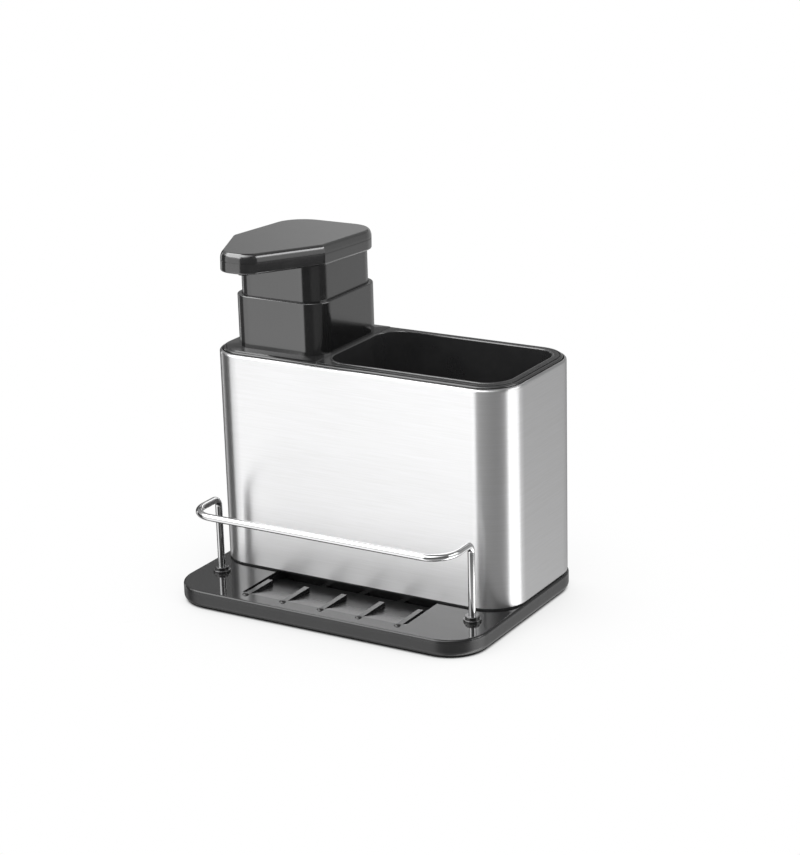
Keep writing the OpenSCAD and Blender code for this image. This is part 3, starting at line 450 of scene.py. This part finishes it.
def brushed_steel():
    """Sheet steel brushed along its long side, with faint longer strokes."""
    f = Finish("brushed_sheet_steel", Metallic=1.0, Anisotropic=0.95, Anisotropic_Rotation=0.25)
    fine = f.noise(grain=0.12, detail=2.0, rough=0.6, stretch=(300, 300, 1))
    broad = f.noise(grain=0.7, rough=0.6, stretch=(40, 40, 1))
    upright = f.node("ShaderNodeTangent", {"direction_type": "RADIAL", "axis": "Z"})
    f.set(Tangent=upright.outputs["Tangent"])
    return f.surface(broad, gray(0.612), gray(0.65, 0.01), f.spread(fine, 0.28, 0.33),
                     f.bump(fine, strength=0.05, depth=0.02))


def polished_black(name, level, rough, coat, coat_ior=1.7, low_rough=None):
    """Moulded black plastic with a faint ripple, patches dulled by dust, and fine pores.
    With low_rough it is duller below the top of the tray."""
    f = Finish(name, IOR=PLASTIC_IOR, Coat_Weight=coat, Coat_Roughness=rough * 0.6,
               Coat_IOR=coat_ior)
    dust = f.noise(grain=17, detail=4.0, rough=0.6)
    pores = f.noise(grain=0.35, detail=2.0)
    dulled = f.spread(dust, rough * 0.85, rough * 1.2)
    if low_rough is not None:
        height = f.node("ShaderNodeSeparateXYZ", Vector=f.place).outputs["Z"]
        near_top = f.spread(height, 0, 1, [(TRAY_Z - below) * MM for below in DULL_BELOW])
        dulled = mix(f.tree, near_top, low_rough, dulled, numbers=True)
    ripple = f.bump(dust, strength=0.05, depth=0.15)
    return f.surface(dust, gray(level * 0.85, 0.03), gray(level * 1.2, 0.02), dulled,
                     f.bump(pores, strength=0.05, depth=0.02, under=ripple))


def rubber(name, level):
    """Matt black rubber with a fine grit."""
    f = Finish(name, IOR=PLASTIC_IOR)
    grit = f.noise(grain=0.25, rough=0.6)
    return f.surface(f.noise(grain=6), gray(level * 0.8), gray(level * 1.3),
                     f.spread(grit, 0.55, 0.75), f.bump(grit, strength=0.2, depth=0.03))


def bright_chrome(name, level, rough):
    """Polished wire with faint drawing marks and dull spots."""
    f = Finish(name, Metallic=1.0)
    marks = f.noise(grain=0.2, detail=2.0, stretch=(40, 4, 4))
    spots = f.noise(grain=9, rough=0.6)
    return f.surface(spots, gray(level * 0.95), gray(level, 0.01),
                     f.spread(spots, rough * 0.7, rough * 1.5),
                     f.bump(marks, strength=0.03, depth=0.01))


def turned_steel(name, level, rough):
    """Turned or rolled small steel parts, with rings round their axis."""
    f = Finish(name, Metallic=1.0)
    rings = f.noise(grain=0.12, detail=2.0, stretch=(8, 8, 1))
    return f.surface(rings, gray(level * 0.85), gray(level, 0.01),
                     f.spread(rings, rough * 0.8, rough * 1.3),
                     f.bump(rings, strength=0.1, depth=0.01))


def milky_plastic(name, color, see_through, rough):
    """Natural plastic with faint flow marks, more or less see-through."""
    f = Finish(name, IOR=PLASTIC_IOR, Transmission_Weight=see_through)
    flow = f.noise(grain=11)
    return f.surface(flow, [c * 0.93 for c in color], color,
                     f.spread(flow, rough * 0.8, rough * 1.2),
                     f.bump(f.noise(grain=0.5), strength=0.05, depth=0.02))


SLEEVE_STEEL = brushed_steel()
PUMP_BLACK = polished_black("pump_black", level=0.012, rough=0.16, coat=1.0)
SHELL_BLACK = polished_black("shell_black", level=0.03, rough=0.12, coat=0.35, coat_ior=1.6)
TRAY_BLACK = polished_black("tray_black", level=0.016, rough=0.07, coat=0.0, low_rough=0.34)
BIN_BLACK = polished_black("bin_black", level=0.036, rough=0.14, coat=0.6, coat_ior=1.8)
BUSHING_BLACK = polished_black("bushing_black", level=0.012, rough=0.14, coat=0.5)
SEAL_BLACK = rubber("seal_black_rubber", level=0.02)
FOOT_BLACK = rubber("foot_rubber_grip", level=0.03)
RAIL_CHROME = bright_chrome("rail_chrome", level=0.6, rough=0.06)
BALL_STEEL = bright_chrome("polished_ball_steel", level=0.8, rough=0.05)
SPRING_STEEL = turned_steel("drawn_spring_wire", level=0.62, rough=0.24)
SCREW_STEEL = turned_steel("plain_screw_steel", level=0.6, rough=0.3)
ENGINE_WHITE = milky_plastic("natural_white_plastic", (0.84, 0.84, 0.82), 0.0, rough=0.35)
TANK_MILKY = milky_plastic("milky_tank_plastic", (0.86, 0.89, 0.9), 0.55, rough=0.35)
TUBE_MILKY = milky_plastic("milky_tube_plastic", (0.88, 0.9, 0.91), 0.6, rough=0.25)

NODE_FINISHES = [
    (SLEEVE_STEEL, "steel_sleeve"),
    (PUMP_BLACK, "pump_collar", "head_body", "head_cap", "spout_tip"),
    (SHELL_BLACK, "body_shell"),
    (TRAY_BLACK, "base_tray"),
    (BIN_BLACK, "utensil_bin"),
    (BUSHING_BLACK, "rail_bushings"),
    (SEAL_BLACK, "seal_strip", "neck_gasket", "piston_seal"),
    (FOOT_BLACK, "rubber_feet"),
    (RAIL_CHROME, "wire_rail"),
    (BALL_STEEL, "inlet_ball", "outlet_ball"),
    (SPRING_STEEL, "return_spring"),
    (SCREW_STEEL, "frame_screws", "lock_washers"),
    (ENGINE_WHITE, "pump_cylinder", "stem_guide", "pump_stem", "ball_retainer"),
    (TANK_MILKY, "soap_reservoir"),
    (TUBE_MILKY, "dip_tube"),
]


def finish_cad_nodes():
    """Gives every CAD node its procedural finish."""
    for finish, *names in NODE_FINISHES:
        for name in names:
            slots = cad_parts[name].data.materials
            slots.clear()
            slots.append(finish)


# Steel sleeve, shell and bin

def steel_sleeve():
    """Sheet steel wrapped round the body, with its upper edge rolled in."""
    hem = STEEL_TOP - HEM_R
    outer = [(0, SEAL_TOP), (0, SEAL_TOP + HEM_MARGIN), (0, hem - HEM_MARGIN)]
    outer += arc(HEM_R, hem, HEM_R, 180, 90)
    inner = arc(HEM_R, hem, HEM_R - SHEET_T, 90, 180) + [(SHEET_T, SEAL_TOP)]
    plan = centred_box((0, BODY_Y), (BODY_L, BODY_D, BODY_CORNER_R))
    shape = Shape().wall(plan, outer + inner, loop=True)
    make("sleeve_sheet", shape, SLEEVE_STEEL, "caddy_body", "steel_sleeve")


def past_corner(x, y):
    """How far a point in plan lies past the start of the body's corner, along each side."""
    return (abs(x) - (BODY_L / 2 - BODY_CORNER_R),
            abs(y - BODY_Y) - (BODY_D / 2 - BODY_CORNER_R))


def body_inset(x, y):
    """How far a point in plan lies inside the body's outline."""
    across, along = past_corner(x, y)
    if across > 0 and along > 0:
        return BODY_CORNER_R - math.hypot(across, along)
    return BODY_CORNER_R - max(across, along)


def body_shell():
    """The moulded shell, whose bead is rounded further than its sharp moulding edge."""
    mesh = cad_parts["body_shell"].data.copy()
    mesh.name = "moulded_shell"
    tidy_mesh(mesh)
    for point in mesh.vertices:
        x, y, z = (v / MM for v in point.co)
        inset = body_inset(x, y)
        side, rise = BEAD_INSET + BEAD_EDGE - inset, z - (BEAD_TOP - BEAD_EDGE)
        on_height = rise > -NEAR_BEAD_HEIGHT and z < BEAD_TOP + NEAR_BEAD_HEIGHT
        if on_height and -NEAR_BEAD_SIDE < side < BEAD_EDGE + NEAR_BEAD_SIDE:
            angle = math.atan2(rise, side)
            inward = BEAD_ROUND * (1 - math.cos(angle)) - (inset - BEAD_INSET)
            across, along = (max(reach, 0) for reach in past_corner(x, y))
            away = Vector((math.copysign(across, x), math.copysign(along, y - BODY_Y)))
            if away.length > 0:
                away = away.normalized() * inward * MM
                point.co.x -= away.x
                point.co.y -= away.y
            point.co.z = (BEAD_TOP + BEAD_ROUND * (math.sin(angle) - 1)) * MM
    piece = add_piece("moulded_shell", mesh)
    soften(piece, SHELL_BLACK)
    hang(piece, "caddy_body", "body_shell")


def utensil_bin():
    """Lift-out bin with a flange, a rounded inner lip and drain holes."""
    y0, y1 = BODY_Y - BODY_D / 2, BODY_Y + BODY_D / 2
    inner = box_corners(*BIN_X, y0 + BIN_SIDE, y1 - BIN_SIDE), [BIN_CORNER_R] * 4
    rim, rim_r = BODY_L / 2 - FIELD_INSET, BODY_CORNER_R - FIELD_INSET
    left = BIN_X[0] - BIN_T - FLANGE_LEFT
    flange = (box_corners(left, rim, y0 + FIELD_INSET, y1 - FIELD_INSET),
              [BIN_T, rim_r, rim_r, BIN_T])
    floor_top, flange_low = BIN_LOW + BIN_FLOOR, DECK_TOP - FLANGE_T
    middle = sum(BIN_X) / 2
    holes = [circle(middle + i * DRAIN_PITCH, BODY_Y + j * DRAIN_PITCH, DRAIN_D / 2, HOLE_STEPS)
             for i in DRAIN_COLUMNS for j in DRAIN_ROWS]
    lip = arc(-LIP_R, DECK_TOP - LIP_R, LIP_R, LIP_START, 0, ARC_STEPS)
    field, field_top = lip[0]
    shape = Shape()
    foot = arc(FLOOR_ROUND, floor_top + FLOOR_ROUND, FLOOR_ROUND, 180, 270)
    shape.wall(inner, lip + foot, ends=False)
    shape.sheet(outline(*inner, FLOOR_ROUND), holes, floor_top)
    base = arc(FLOOR_ROUND - BIN_T, BIN_LOW + FLOOR_ROUND, FLOOR_ROUND, 270, 180)
    shape.wall(inner, base + [(-BIN_T, flange_low)], ends=False)
    shape.sheet(outline(*inner, FLOOR_ROUND - BIN_T), holes, BIN_LOW)
    for hole in holes:
        shape.rings([lift(hole, BIN_LOW), lift(hole, floor_top)], ends=False)
    edge = arc(FLANGE_EDGE, field_top - FLANGE_EDGE, FLANGE_EDGE, 180, 90)
    shape.wall(flange, [(0, flange_low)] + edge, ends=False)
    shape.sheet(outline(*flange, FLANGE_EDGE), [outline(*inner, field)], field_top)
    shape.sheet(outline(*flange), [outline(*inner, -BIN_T)], flange_low)
    make("lift_out_bin", shape, BIN_BLACK, "bin", "utensil_bin")


# Pump head

def lean(points):
    """Leans the head back about the pump's axis."""
    p = math.radians(HEAD_PITCH)
    leaned = []
    for v in points:
        y, z = v.y - BODY_Y, v.z - HEAD_TOP
        leaned.append(Vector((v.x, BODY_Y + y * math.cos(p) + z * math.sin(p),
                              HEAD_TOP - y * math.sin(p) + z * math.cos(p))))
    return leaned


def head_plate(section):
    """A leaning plate of the head, from the nose round by the shoulders to the back."""
    corners = [(-NOSE_HALF_W, -HEAD_FRONT), (NOSE_HALF_W, -HEAD_FRONT),
               (HEAD_HALF_W, -HEAD_SHOULDER), (HEAD_HALF_W, HEAD_BACK),
               (-HEAD_HALF_W, HEAD_BACK), (-HEAD_HALF_W, -HEAD_SHOULDER)]
    plan = [(x + PUMP_X, y + BODY_Y) for x, y in corners], HEAD_RADII
    shape = Shape().wall(plan, section)
    shape.points = lean(shape.points)
    return shape


def head_cap():
    """Cover plate on the head, with a drawn-out rounding along its upper edge."""
    section = [(0, HEAD_SEAM)]
    for k in range(ARC_STEPS + 1):
        angle = math.pi / 2 * k / ARC_STEPS
        section.append((CAP_ROUND_IN * (1 - math.cos(angle)),
                        HEAD_TOP + CAP_ROUND_DOWN * (math.sin(angle) - 1)))
    make("head_cover", head_plate(section), PUMP_BLACK, "pump_head", "head_cap")


def head_body():
    """Head's lower plate with the seam under the cover, the skirt and the stem's socket."""
    seam_low, into_head = HEAD_SEAM - SEAM_H, HEAD_LOW + SKIRT_INTO_HEAD
    section = arc(HEAD_EDGE, HEAD_LOW + HEAD_EDGE, HEAD_EDGE, 270, 180)
    section += [(0, seam_low), (SEAM_IN, seam_low), (SEAM_IN, HEAD_SEAM)]
    shape = head_plate(section)
    skirt = centred_box((PUMP_X, BODY_Y), SKIRT)
    shape.wall(skirt, [(0, SKIRT_LOW), (0, into_head), (SKIRT_T, into_head),
                       (SKIRT_T, SKIRT_LOW)], loop=True)
    bore, out = STEM_D / 2, SOCKET_D / 2
    shape.round(PUMP_X, BODY_Y, [(bore, SOCKET_LOW), (out, SOCKET_LOW), (out, into_head),
                                 (bore, into_head)], loop=True)
    make("head_underpart", shape, PUMP_BLACK, "pump_head", "head_body")


# Chrome rail, bushings and spring by Geometry Nodes

class Tree:
    """A geometry node tree with named sizes, which is run once on a carrier mesh."""

    def __init__(self, name, **sizes):
        self.tree = bpy.data.node_groups.new(name, "GeometryNodeTree")
        self.socket("Geometry", "INPUT", "NodeSocketGeometry")
        self.socket("Geometry", "OUTPUT", "NodeSocketGeometry")
        self.values = {}
        for key, value in sizes.items():
            kind = "NodeSocketInt" if isinstance(value, int) else "NodeSocketFloat"
            self.values[self.socket(key, "INPUT", kind)] = value
        self.finish_socket = self.socket("Finish", "INPUT", "NodeSocketMaterial")
        self.start = self.tree.nodes.new("NodeGroupInput")
        self.end = self.tree.nodes.new("NodeGroupOutput")

    def socket(self, name, way, kind):
        made = self.tree.interface.new_socket(name, in_out=way, socket_type=kind)
        return made.identifier

    def size(self, key):
        return self.start.outputs[key]

    def node(self, kind, settings=None, inputs=None):
        return add_node(self.tree, kind, settings, inputs)

    def math(self, operation, a, b=0.0):
        return self.node("ShaderNodeMath", {"operation": operation}, {0: a, 1: b}).outputs[0]

    def point(self, x, y, z=0.0):
        return self.node("ShaderNodeCombineXYZ", inputs={0: x, 1: y, 2: z}).outputs[0]

    def path(self, geometry):
        return self.node("GeometryNodeMeshToCurve", inputs={0: geometry}).outputs[0]

    def circle(self, radius):
        return self.node("GeometryNodeCurvePrimitiveCircle", inputs={
            "Resolution": self.size("Sides"), "Radius": radius}).outputs[0]

    def wire(self, path):
        """Round wire along a path, closed at its ends."""
        radius = self.math("MULTIPLY", self.size("Wire_Diameter"), 0.5)
        return self.node("GeometryNodeCurveToMesh", inputs={
            "Curve": path, "Profile Curve": self.circle(radius), "Fill Caps": True}).outputs[0]

    def finish(self, geometry):
        real = self.node("GeometryNodeRealizeInstances", inputs={0: geometry})
        smooth = self.node("GeometryNodeSetShadeSmooth", inputs={"Geometry": real.outputs[0]})
        painted = self.node("GeometryNodeSetMaterial", inputs={
            "Geometry": smooth.outputs[0], "Material": self.size("Finish")})
        self.tree.links.new(painted.outputs[0], self.end.inputs[0])

    def run(self, name, points, edges, material, bends=None):
        """Runs the tree on a carrier of points and edges in millimetres."""
        mesh = bpy.data.meshes.new(name)
        mesh.from_pydata([Vector(p) * MM for p in points], edges, [])
        if bends:
            mesh.attributes.new("bend", "FLOAT", "POINT").data.foreach_set("value", bends)
        piece = add_piece(name, mesh)
        modifier = piece.modifiers.new(name, "NODES")
        modifier.node_group = self.tree
        for identifier, value in self.values.items():
            modifier[identifier] = value
        modifier[self.finish_socket] = material
        settle(piece)
        tidy_mesh(piece.data)
        return piece


def wire_rail():
    """One bent wire: its corners are the carrier's points, and each has its bend radius."""
    tree = Tree("bent_wire", Wire_Diameter=WIRE_D * MM, Bend_Steps=BEND_STEPS, Sides=WIRE_SIDES)
    bend = tree.node("GeometryNodeInputNamedAttribute", {"data_type": "FLOAT"}, {"Name": "bend"})
    bent = tree.node("GeometryNodeFilletCurve", {"mode": "POLY"}, {
        "Curve": tree.path(tree.size("Geometry")), "Count": tree.size("Bend_Steps"),
        "Radius": bend.outputs[0], "Limit Radius": True})
    tree.finish(tree.wire(bent.outputs[0]))
    half = [(LEG_Y, LEG_FOOT, 0), (LEG_Y, RAIL_Z, LEG_BEND), (RUN_Y, RAIL_Z, FRONT_BEND)]
    corners = [(-RAIL_HALF_L, *c) for c in half] + [(RAIL_HALF_L, *c) for c in reversed(half)]
    edges = [(k, k + 1) for k in range(len(corners) - 1)]
    rail = tree.run("sponge_rail", [c[:3] for c in corners], edges, RAIL_CHROME,
                    bends=[c[3] * MM for c in corners])
    soften(rail, RAIL_CHROME)
    hang(rail, "caddy_body", "wire_rail")


def rail_bushings():
    """Two turned bushings: the carrier is their side profile, drawn out from the wire, which is
    turned round a circle and set at each leg."""
    tree = Tree("turned_bushings", Bore_Radius=WIRE_D / 2 * MM, Leg_Reach=RAIL_HALF_L * MM,
                Leg_Place=LEG_Y * MM, Copies=2, Sides=BUSH_SIDES)
    turned = tree.node("GeometryNodeCurveToMesh", inputs={
        "Curve": tree.circle(tree.size("Bore_Radius")),
        "Profile Curve": tree.path(tree.size("Geometry"))})
    left_leg = tree.math("MULTIPLY", tree.size("Leg_Reach"), -1.0)
    legs = tree.node("GeometryNodeMeshLine", {"mode": "END_POINTS"}, {
        "Count": tree.size("Copies"),
        "Start Location": tree.point(left_leg, tree.size("Leg_Place")),
        "Offset": tree.point(tree.size("Leg_Reach"), tree.size("Leg_Place"))})
    placed = tree.node("GeometryNodeInstanceOnPoints", inputs={
        "Points": legs.outputs[0], "Instance": turned.outputs[0]})
    tree.finish(placed.outputs[0])
    bore, plug, step, flange = (
        d / 2 for d in (WIRE_D, BUSH_PLUG_D, BUSH_STEP_D, BUSH_FLANGE_D))
    r, foot, low, top = BUSH_EDGE, TRAY_Z - BUSH_PLUG_H, TRAY_Z + BUSH_FLANGE_H, TRAY_Z + BUSH_H
    profile = [(bore, foot), (plug, foot), (plug, TRAY_Z), (flange, TRAY_Z)]
    profile += arc(flange - r, low - r, r, 0, 90) + [(step, low)]
    profile += arc(step - r, top - r, r, 0, 90) + [(bore, top)]
    points = [(x - bore, -z, 0) for x, z in profile]
    n = len(points)
    edges = [(k, (k + 1) % n) for k in range(n)]
    bushings = tree.run("turned_rail_bushings", points, edges, BUSHING_BLACK)
    soften(bushings, BUSHING_BLACK)
    hang(bushings, "caddy_body", "rail_bushings")


def return_spring():
    """Round wire along a coil with closed end turns, by a rule on the turns that are counted
    along a line of points."""
    free_length = SPRING_HIGH - SPRING_LOW - SPRING_WIRE
    tree = Tree("wound_spring", Coil_Radius=(SPRING_D - SPRING_WIRE) / 2 * MM,
                Wire_Diameter=SPRING_WIRE * MM, Closed_Rise=SPRING_CLOSE * MM,
                Free_Length=free_length * MM, Turns=SPRING_TURNS, Turn_Steps=SPRING_STEPS,
                Sides=SPRING_SIDES)
    steps = tree.math("MULTIPLY", tree.size("Turns"), tree.size("Turn_Steps"))
    line = tree.node("GeometryNodeMeshLine", inputs={"Count": tree.math("ADD", steps, 1.0)})
    number = tree.node("GeometryNodeInputIndex").outputs[0]
    turns = tree.math("DIVIDE", number, tree.size("Turn_Steps"))
    closed_rise = tree.size("Closed_Rise")
    open_turns = tree.math("SUBTRACT", tree.size("Turns"), 2.0)
    open_length = tree.math("SUBTRACT", tree.size("Free_Length"),
                            tree.math("MULTIPLY", closed_rise, 2.0))
    open_rise = tree.math("DIVIDE", open_length, open_turns)
    last_turn = tree.math("ADD", open_turns, 1.0)
    heights = []
    for first, length, rise in ((0.0, 1.0, closed_rise), (1.0, open_turns, open_rise),
                                (last_turn, 1.0, closed_rise)):
        gone = tree.math("MAXIMUM", tree.math("SUBTRACT", turns, first), 0.0)
        heights.append(tree.math("MULTIPLY", tree.math("MINIMUM", gone, length), rise))
    height = tree.math("ADD", tree.math("ADD", heights[0], heights[1]), heights[2])
    angle = tree.math("MULTIPLY", turns, 2 * math.pi)
    x, y = (tree.math("MULTIPLY", tree.math(way, angle), tree.size("Coil_Radius"))
            for way in ("COSINE", "SINE"))
    coil = tree.node("GeometryNodeSetPosition", inputs={
        "Geometry": line.outputs[0], "Position": tree.point(x, y, height)})
    tree.finish(tree.wire(tree.path(coil.outputs[0])))
    spring = tree.run("wound_return_spring", [(0, 0, 0)], [], SPRING_STEEL)
    foot = Vector((PUMP_X, BODY_Y, SPRING_LOW + SPRING_WIRE / 2)) * MM
    spring.data.transform(Matrix.Translation(foot))
    soften(spring, SPRING_STEEL)
    hang(spring, "pump_unit", "return_spring")
    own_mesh(spring)


# Studio

# What mirrors the set sees rows of soft boxes and dark flags. A row gives the brightness by
# bearing, in degrees from the front to the right. It begins between two heights, given as sines
# of the elevation, and reaches up to the next row.
LOW_ROW = [
    (-180, 0.9), (-150, 0.35), (-124, 0.3), (-112, 0.3), (-108, 1.1), (-103, 0.9), (-98, 0.12),
    (-72, 0.12), (-66, 0.9), (-58, 1.2), (-45, 1.5), (-36, 1.7), (-16, 1.9), (-9, 0.6),
    (10, 0.5), (60, 0.5), (83, 0.6), (85, 2.6), (92, 4.0), (128, 4.0), (134, 1.4), (146, 1.4),
    (165, 0.7), (180, 0.9)]
SLIT_ROW = [
    (-180, 0.4), (-165, 0.22), (-150, 0.2), (-138, 0.12), (-112, 0.12), (-108, 1.1),
    (-103, 0.9), (-98, 0.12), (-68, 0.12), (-62, 0.9), (-58, 1.0), (-45, 1.1), (-36, 1.2),
    (-33, 1.35), (-16, 1.45), (-9, 0.08), (30, 0.08), (45, 0.2), (83, 0.18), (90, 0.08),
    (125, 0.08), (138, 0.5), (150, 0.5), (165, 0.5), (180, 0.4)]
HIGH_ROW = [
    (-180, 0.42), (-152, 0.44), (-148, 0.37), (-145, 0.28), (-141, 0.26), (-134, 0.08),
    (-114, 0.08), (-109, 1.2), (-104, 1.0), (-99, 0.08), (-66, 0.08), (-61, 1.08), (-14, 1.1),
    (-8, 0.2), (45, 0.15), (84, 0.15), (90, 0.9), (125, 0.9), (138, 0.46), (180, 0.42)]
RIM_ROW = [
    (-180, 0.2), (-154, 0.14), (-152, 0.07), (-144, 0.16), (-138, 0.2), (-100, 0.4),
    (-66, 0.9), (-55, 1.8), (-14, 1.8), (-8, 0.25), (45, 0.15), (84, 0.3), (90, 1.5),
    (125, 1.5), (138, 0.4), (180, 0.3)]
MIDDLE_ROW = [
    (-180, 0.35), (-162, 0.35), (-155, 0.8), (-147, 0.5), (-143, 0.42), (-100, 0.4),
    (-80, 0.9), (-66, 4.9), (-14, 4.9), (-6, 0.5), (50, 0.15), (84, 0.3), (90, 4.8),
    (125, 4.8), (135, 0.3), (180, 0.35)]
EDGE_ROW = [
    (-180, 0.35), (-155, 0.6), (-143, 0.42), (-100, 0.9), (-66, 4.6), (-10, 4.6), (50, 0.15),
    (180, 0.3)]
BAND_ROW = [
    (-180, 0.5), (-135, 0.45), (-106, 0.45), (-96, 4.8), (0, 4.8), (40, 2.0), (85, 0.3),
    (130, 0.3), (150, 0.5), (180, 0.5)]
TOP_ROW = [(-180, 0.15), (180, 0.15)]
UPPER_ROWS = [(SLIT_ROW, -0.38, -0.355), (HIGH_ROW, -0.2, -0.17), (RIM_ROW, 0.24, 0.25),
              (MIDDLE_ROW, 0.335, 0.36), (EDGE_ROW, 0.54, 0.58), (BAND_ROW, 0.64, 0.7),
              (TOP_ROW, 0.92, 0.95)]
ROW_SCALE = 5.0
FILL = 0.8

# Floor in metres, its level for other light, and the soft shadow painted into its glow by how open
# the sky is there
FLOOR_SIZE = 30.0
FLOOR_LEVEL = 0.8
SHADE_REACH = 0.2
SHADE_SAMPLES = 16
SHADE_LEVELS = [(0.0, 0.01), (0.2, 0.01), (0.36, 0.55), (0.5, 0.84), (0.7, 0.95), (0.86, 1.0)]
# Painted dark shade under the tray, seen by what mirrors the floor: its level, and the openness of
# the sky over which it gives way to clear
PAINTED_UNDERSIDE_DARK = 0.01
UNDERSIDE_SHADE = (0.12, 0.3)

# Key lamp, in metres and watts
KEY_PLACE = (-0.5, -0.7, 1.3)
KEY_AIM = (0, 0.02, 0.1)
KEY_SIZE = 0.9
KEY_POWER = 6


def level_ramp(tree, value, stops):
    """A ramp of gray levels over a value between 0 and 1."""
    ramp = add_node(tree, "ShaderNodeValToRGB", inputs={"Fac": value})
    elements = ramp.color_ramp.elements
    elements.remove(elements[-1])
    for k, (place, level) in enumerate(stops):
        element = elements[0] if k == 0 else elements.new(place)
        element.position = place
        element.color = solid(gray(level))
    return ramp.outputs["Color"]


def by_ray(tree, end, direct, mirrored, other):
    """One shader for the camera and clear plastic, one for what mirrors it, one for other light."""
    light = add_node(tree, "ShaderNodeLightPath")
    seen = add_node(tree, "ShaderNodeMath", {"operation": "MAXIMUM"}, {
        0: light.outputs["Is Camera Ray"], 1: light.outputs["Is Transmission Ray"]})
    unseen = add_node(tree, "ShaderNodeMixShader", inputs={
        0: light.outputs["Is Glossy Ray"], 1: other.outputs[0], 2: mirrored.outputs[0]})
    shader = add_node(tree, "ShaderNodeMixShader", inputs={
        0: seen.outputs[0], 1: unseen.outputs[0], 2: direct.outputs[0]})
    add_node(tree, end, inputs={"Surface": shader.outputs[0]})


def sky():
    """White for the camera, and soft boxes and dark flags round the set for what mirrors it."""
    world = bpy.data.worlds.new("studio")
    bpy.context.scene.world = world
    world.use_nodes = True
    tree = world.node_tree
    tree.nodes.clear()

    def bearing_ramp(row):
        stops = [((bearing + 180) / 360, level / ROW_SCALE) for bearing, level in row]
        return level_ramp(tree, turn, stops)

    where = add_node(tree, "ShaderNodeTexCoord").outputs["Generated"]
    x, y, z = add_node(tree, "ShaderNodeSeparateXYZ", inputs={0: where}).outputs
    front = add_node(tree, "ShaderNodeMath", {"operation": "MULTIPLY"}, {0: y, 1: -1.0})
    bearing = add_node(tree, "ShaderNodeMath", {"operation": "ARCTAN2"}, {
        0: x, 1: front.outputs[0]})
    turn = add_node(tree, "ShaderNodeMapRange", inputs={
        "Value": bearing.outputs[0], "From Min": -math.pi, "From Max": math.pi}).outputs[0]
    color = bearing_ramp(LOW_ROW)
    for row, start, full in UPPER_ROWS:
        above = add_node(tree, "ShaderNodeMapRange", {"interpolation_type": "SMOOTHSTEP"}, {
            "Value": z, "From Min": start, "From Max": full}).outputs[0]
        color = mix(tree, above, color, bearing_ramp(row))
    mirrored, fill, backdrop = (
        add_node(tree, "ShaderNodeBackground", inputs={"Color": seen, "Strength": strength})
        for seen, strength in ((color, ROW_SCALE), (solid(gray(1)), FILL), (solid(gray(1)), 1.0)))
    by_ray(tree, "ShaderNodeOutputWorld", direct=backdrop, mirrored=mirrored, other=fill)


def floor():
    """Plain white floor, which glows white for the camera with the object's soft shadow painted
    into that glow. What mirrors it sees the rows below, but a painted dark shade under the tray."""
    mesh = bpy.data.meshes.new("studio_floor")
    half = FLOOR_SIZE / 2
    corners = [Vector((*corner, 0)) for corner in box_corners(-half, half, -half, half)]
    mesh.from_pydata(corners, [], [(0, 1, 2, 3)])
    floor_piece = add_piece("studio_floor", mesh)
    material = bpy.data.materials.new("studio_floor_painted_shadow")
    material.use_nodes = True
    tree = material.node_tree
    tree.nodes.clear()
    # Painted shadow: the floor's glow for the camera is darkened by how much the object closes off
    # the sky over it
    shade = add_node(tree, "ShaderNodeAmbientOcclusion", {"samples": SHADE_SAMPLES}, {
        "Distance": SHADE_REACH}).outputs["AO"]
    plain = add_node(tree, "ShaderNodeBsdfDiffuse", inputs={"Color": solid(gray(FLOOR_LEVEL))})
    # The first emission is the white glow with the painted shadow, the second the painted dark shade
    # under the tray
    painted_shadow_glow, painted_underside_dark = (add_node(tree, "ShaderNodeEmission", inputs={"Color": color}) for color in (
        level_ramp(tree, shade, SHADE_LEVELS), solid(gray(PAINTED_UNDERSIDE_DARK))))
    clear = add_node(tree, "ShaderNodeBsdfTransparent")
    # Painted shade in mirrors: where the sky is closed off, what mirrors the floor sees a dark glow
    # instead of the sky
    uncovered = add_node(tree, "ShaderNodeMapRange", inputs={
        "Value": shade, "From Min": UNDERSIDE_SHADE[0], "From Max": UNDERSIDE_SHADE[1]})
    mirrored = add_node(tree, "ShaderNodeMixShader", inputs={
        0: uncovered.outputs[0], 1: painted_underside_dark.outputs[0], 2: clear.outputs[0]})
    by_ray(tree, "ShaderNodeOutputMaterial", direct=painted_shadow_glow, mirrored=mirrored, other=plain)
    mesh.materials.append(material)


def key_softbox():
    """One large soft lamp over the front left, which nothing mirrors."""
    data = bpy.data.lights.new("key_softbox", "AREA")
    data.shape = "RECTANGLE"
    data.size = data.size_y = KEY_SIZE
    data.energy = KEY_POWER
    lamp = bpy.data.objects.new("key_softbox", data)
    lamp.location = KEY_PLACE
    aim = Vector(KEY_PLACE) - Vector(KEY_AIM)
    lamp.rotation_euler = aim.to_track_quat("Z", "Y").to_euler()
    lamp.visible_glossy = False
    bpy.context.scene.collection.objects.link(lamp)


finish_cad_nodes()
steel_sleeve()
body_shell()
utensil_bin()
head_cap()
head_body()
wire_rail()
rail_bushings()
return_spring()
place_camera()
sky()
floor()
key_softbox()

bpy.context.scene.view_settings.view_transform = "Standard"
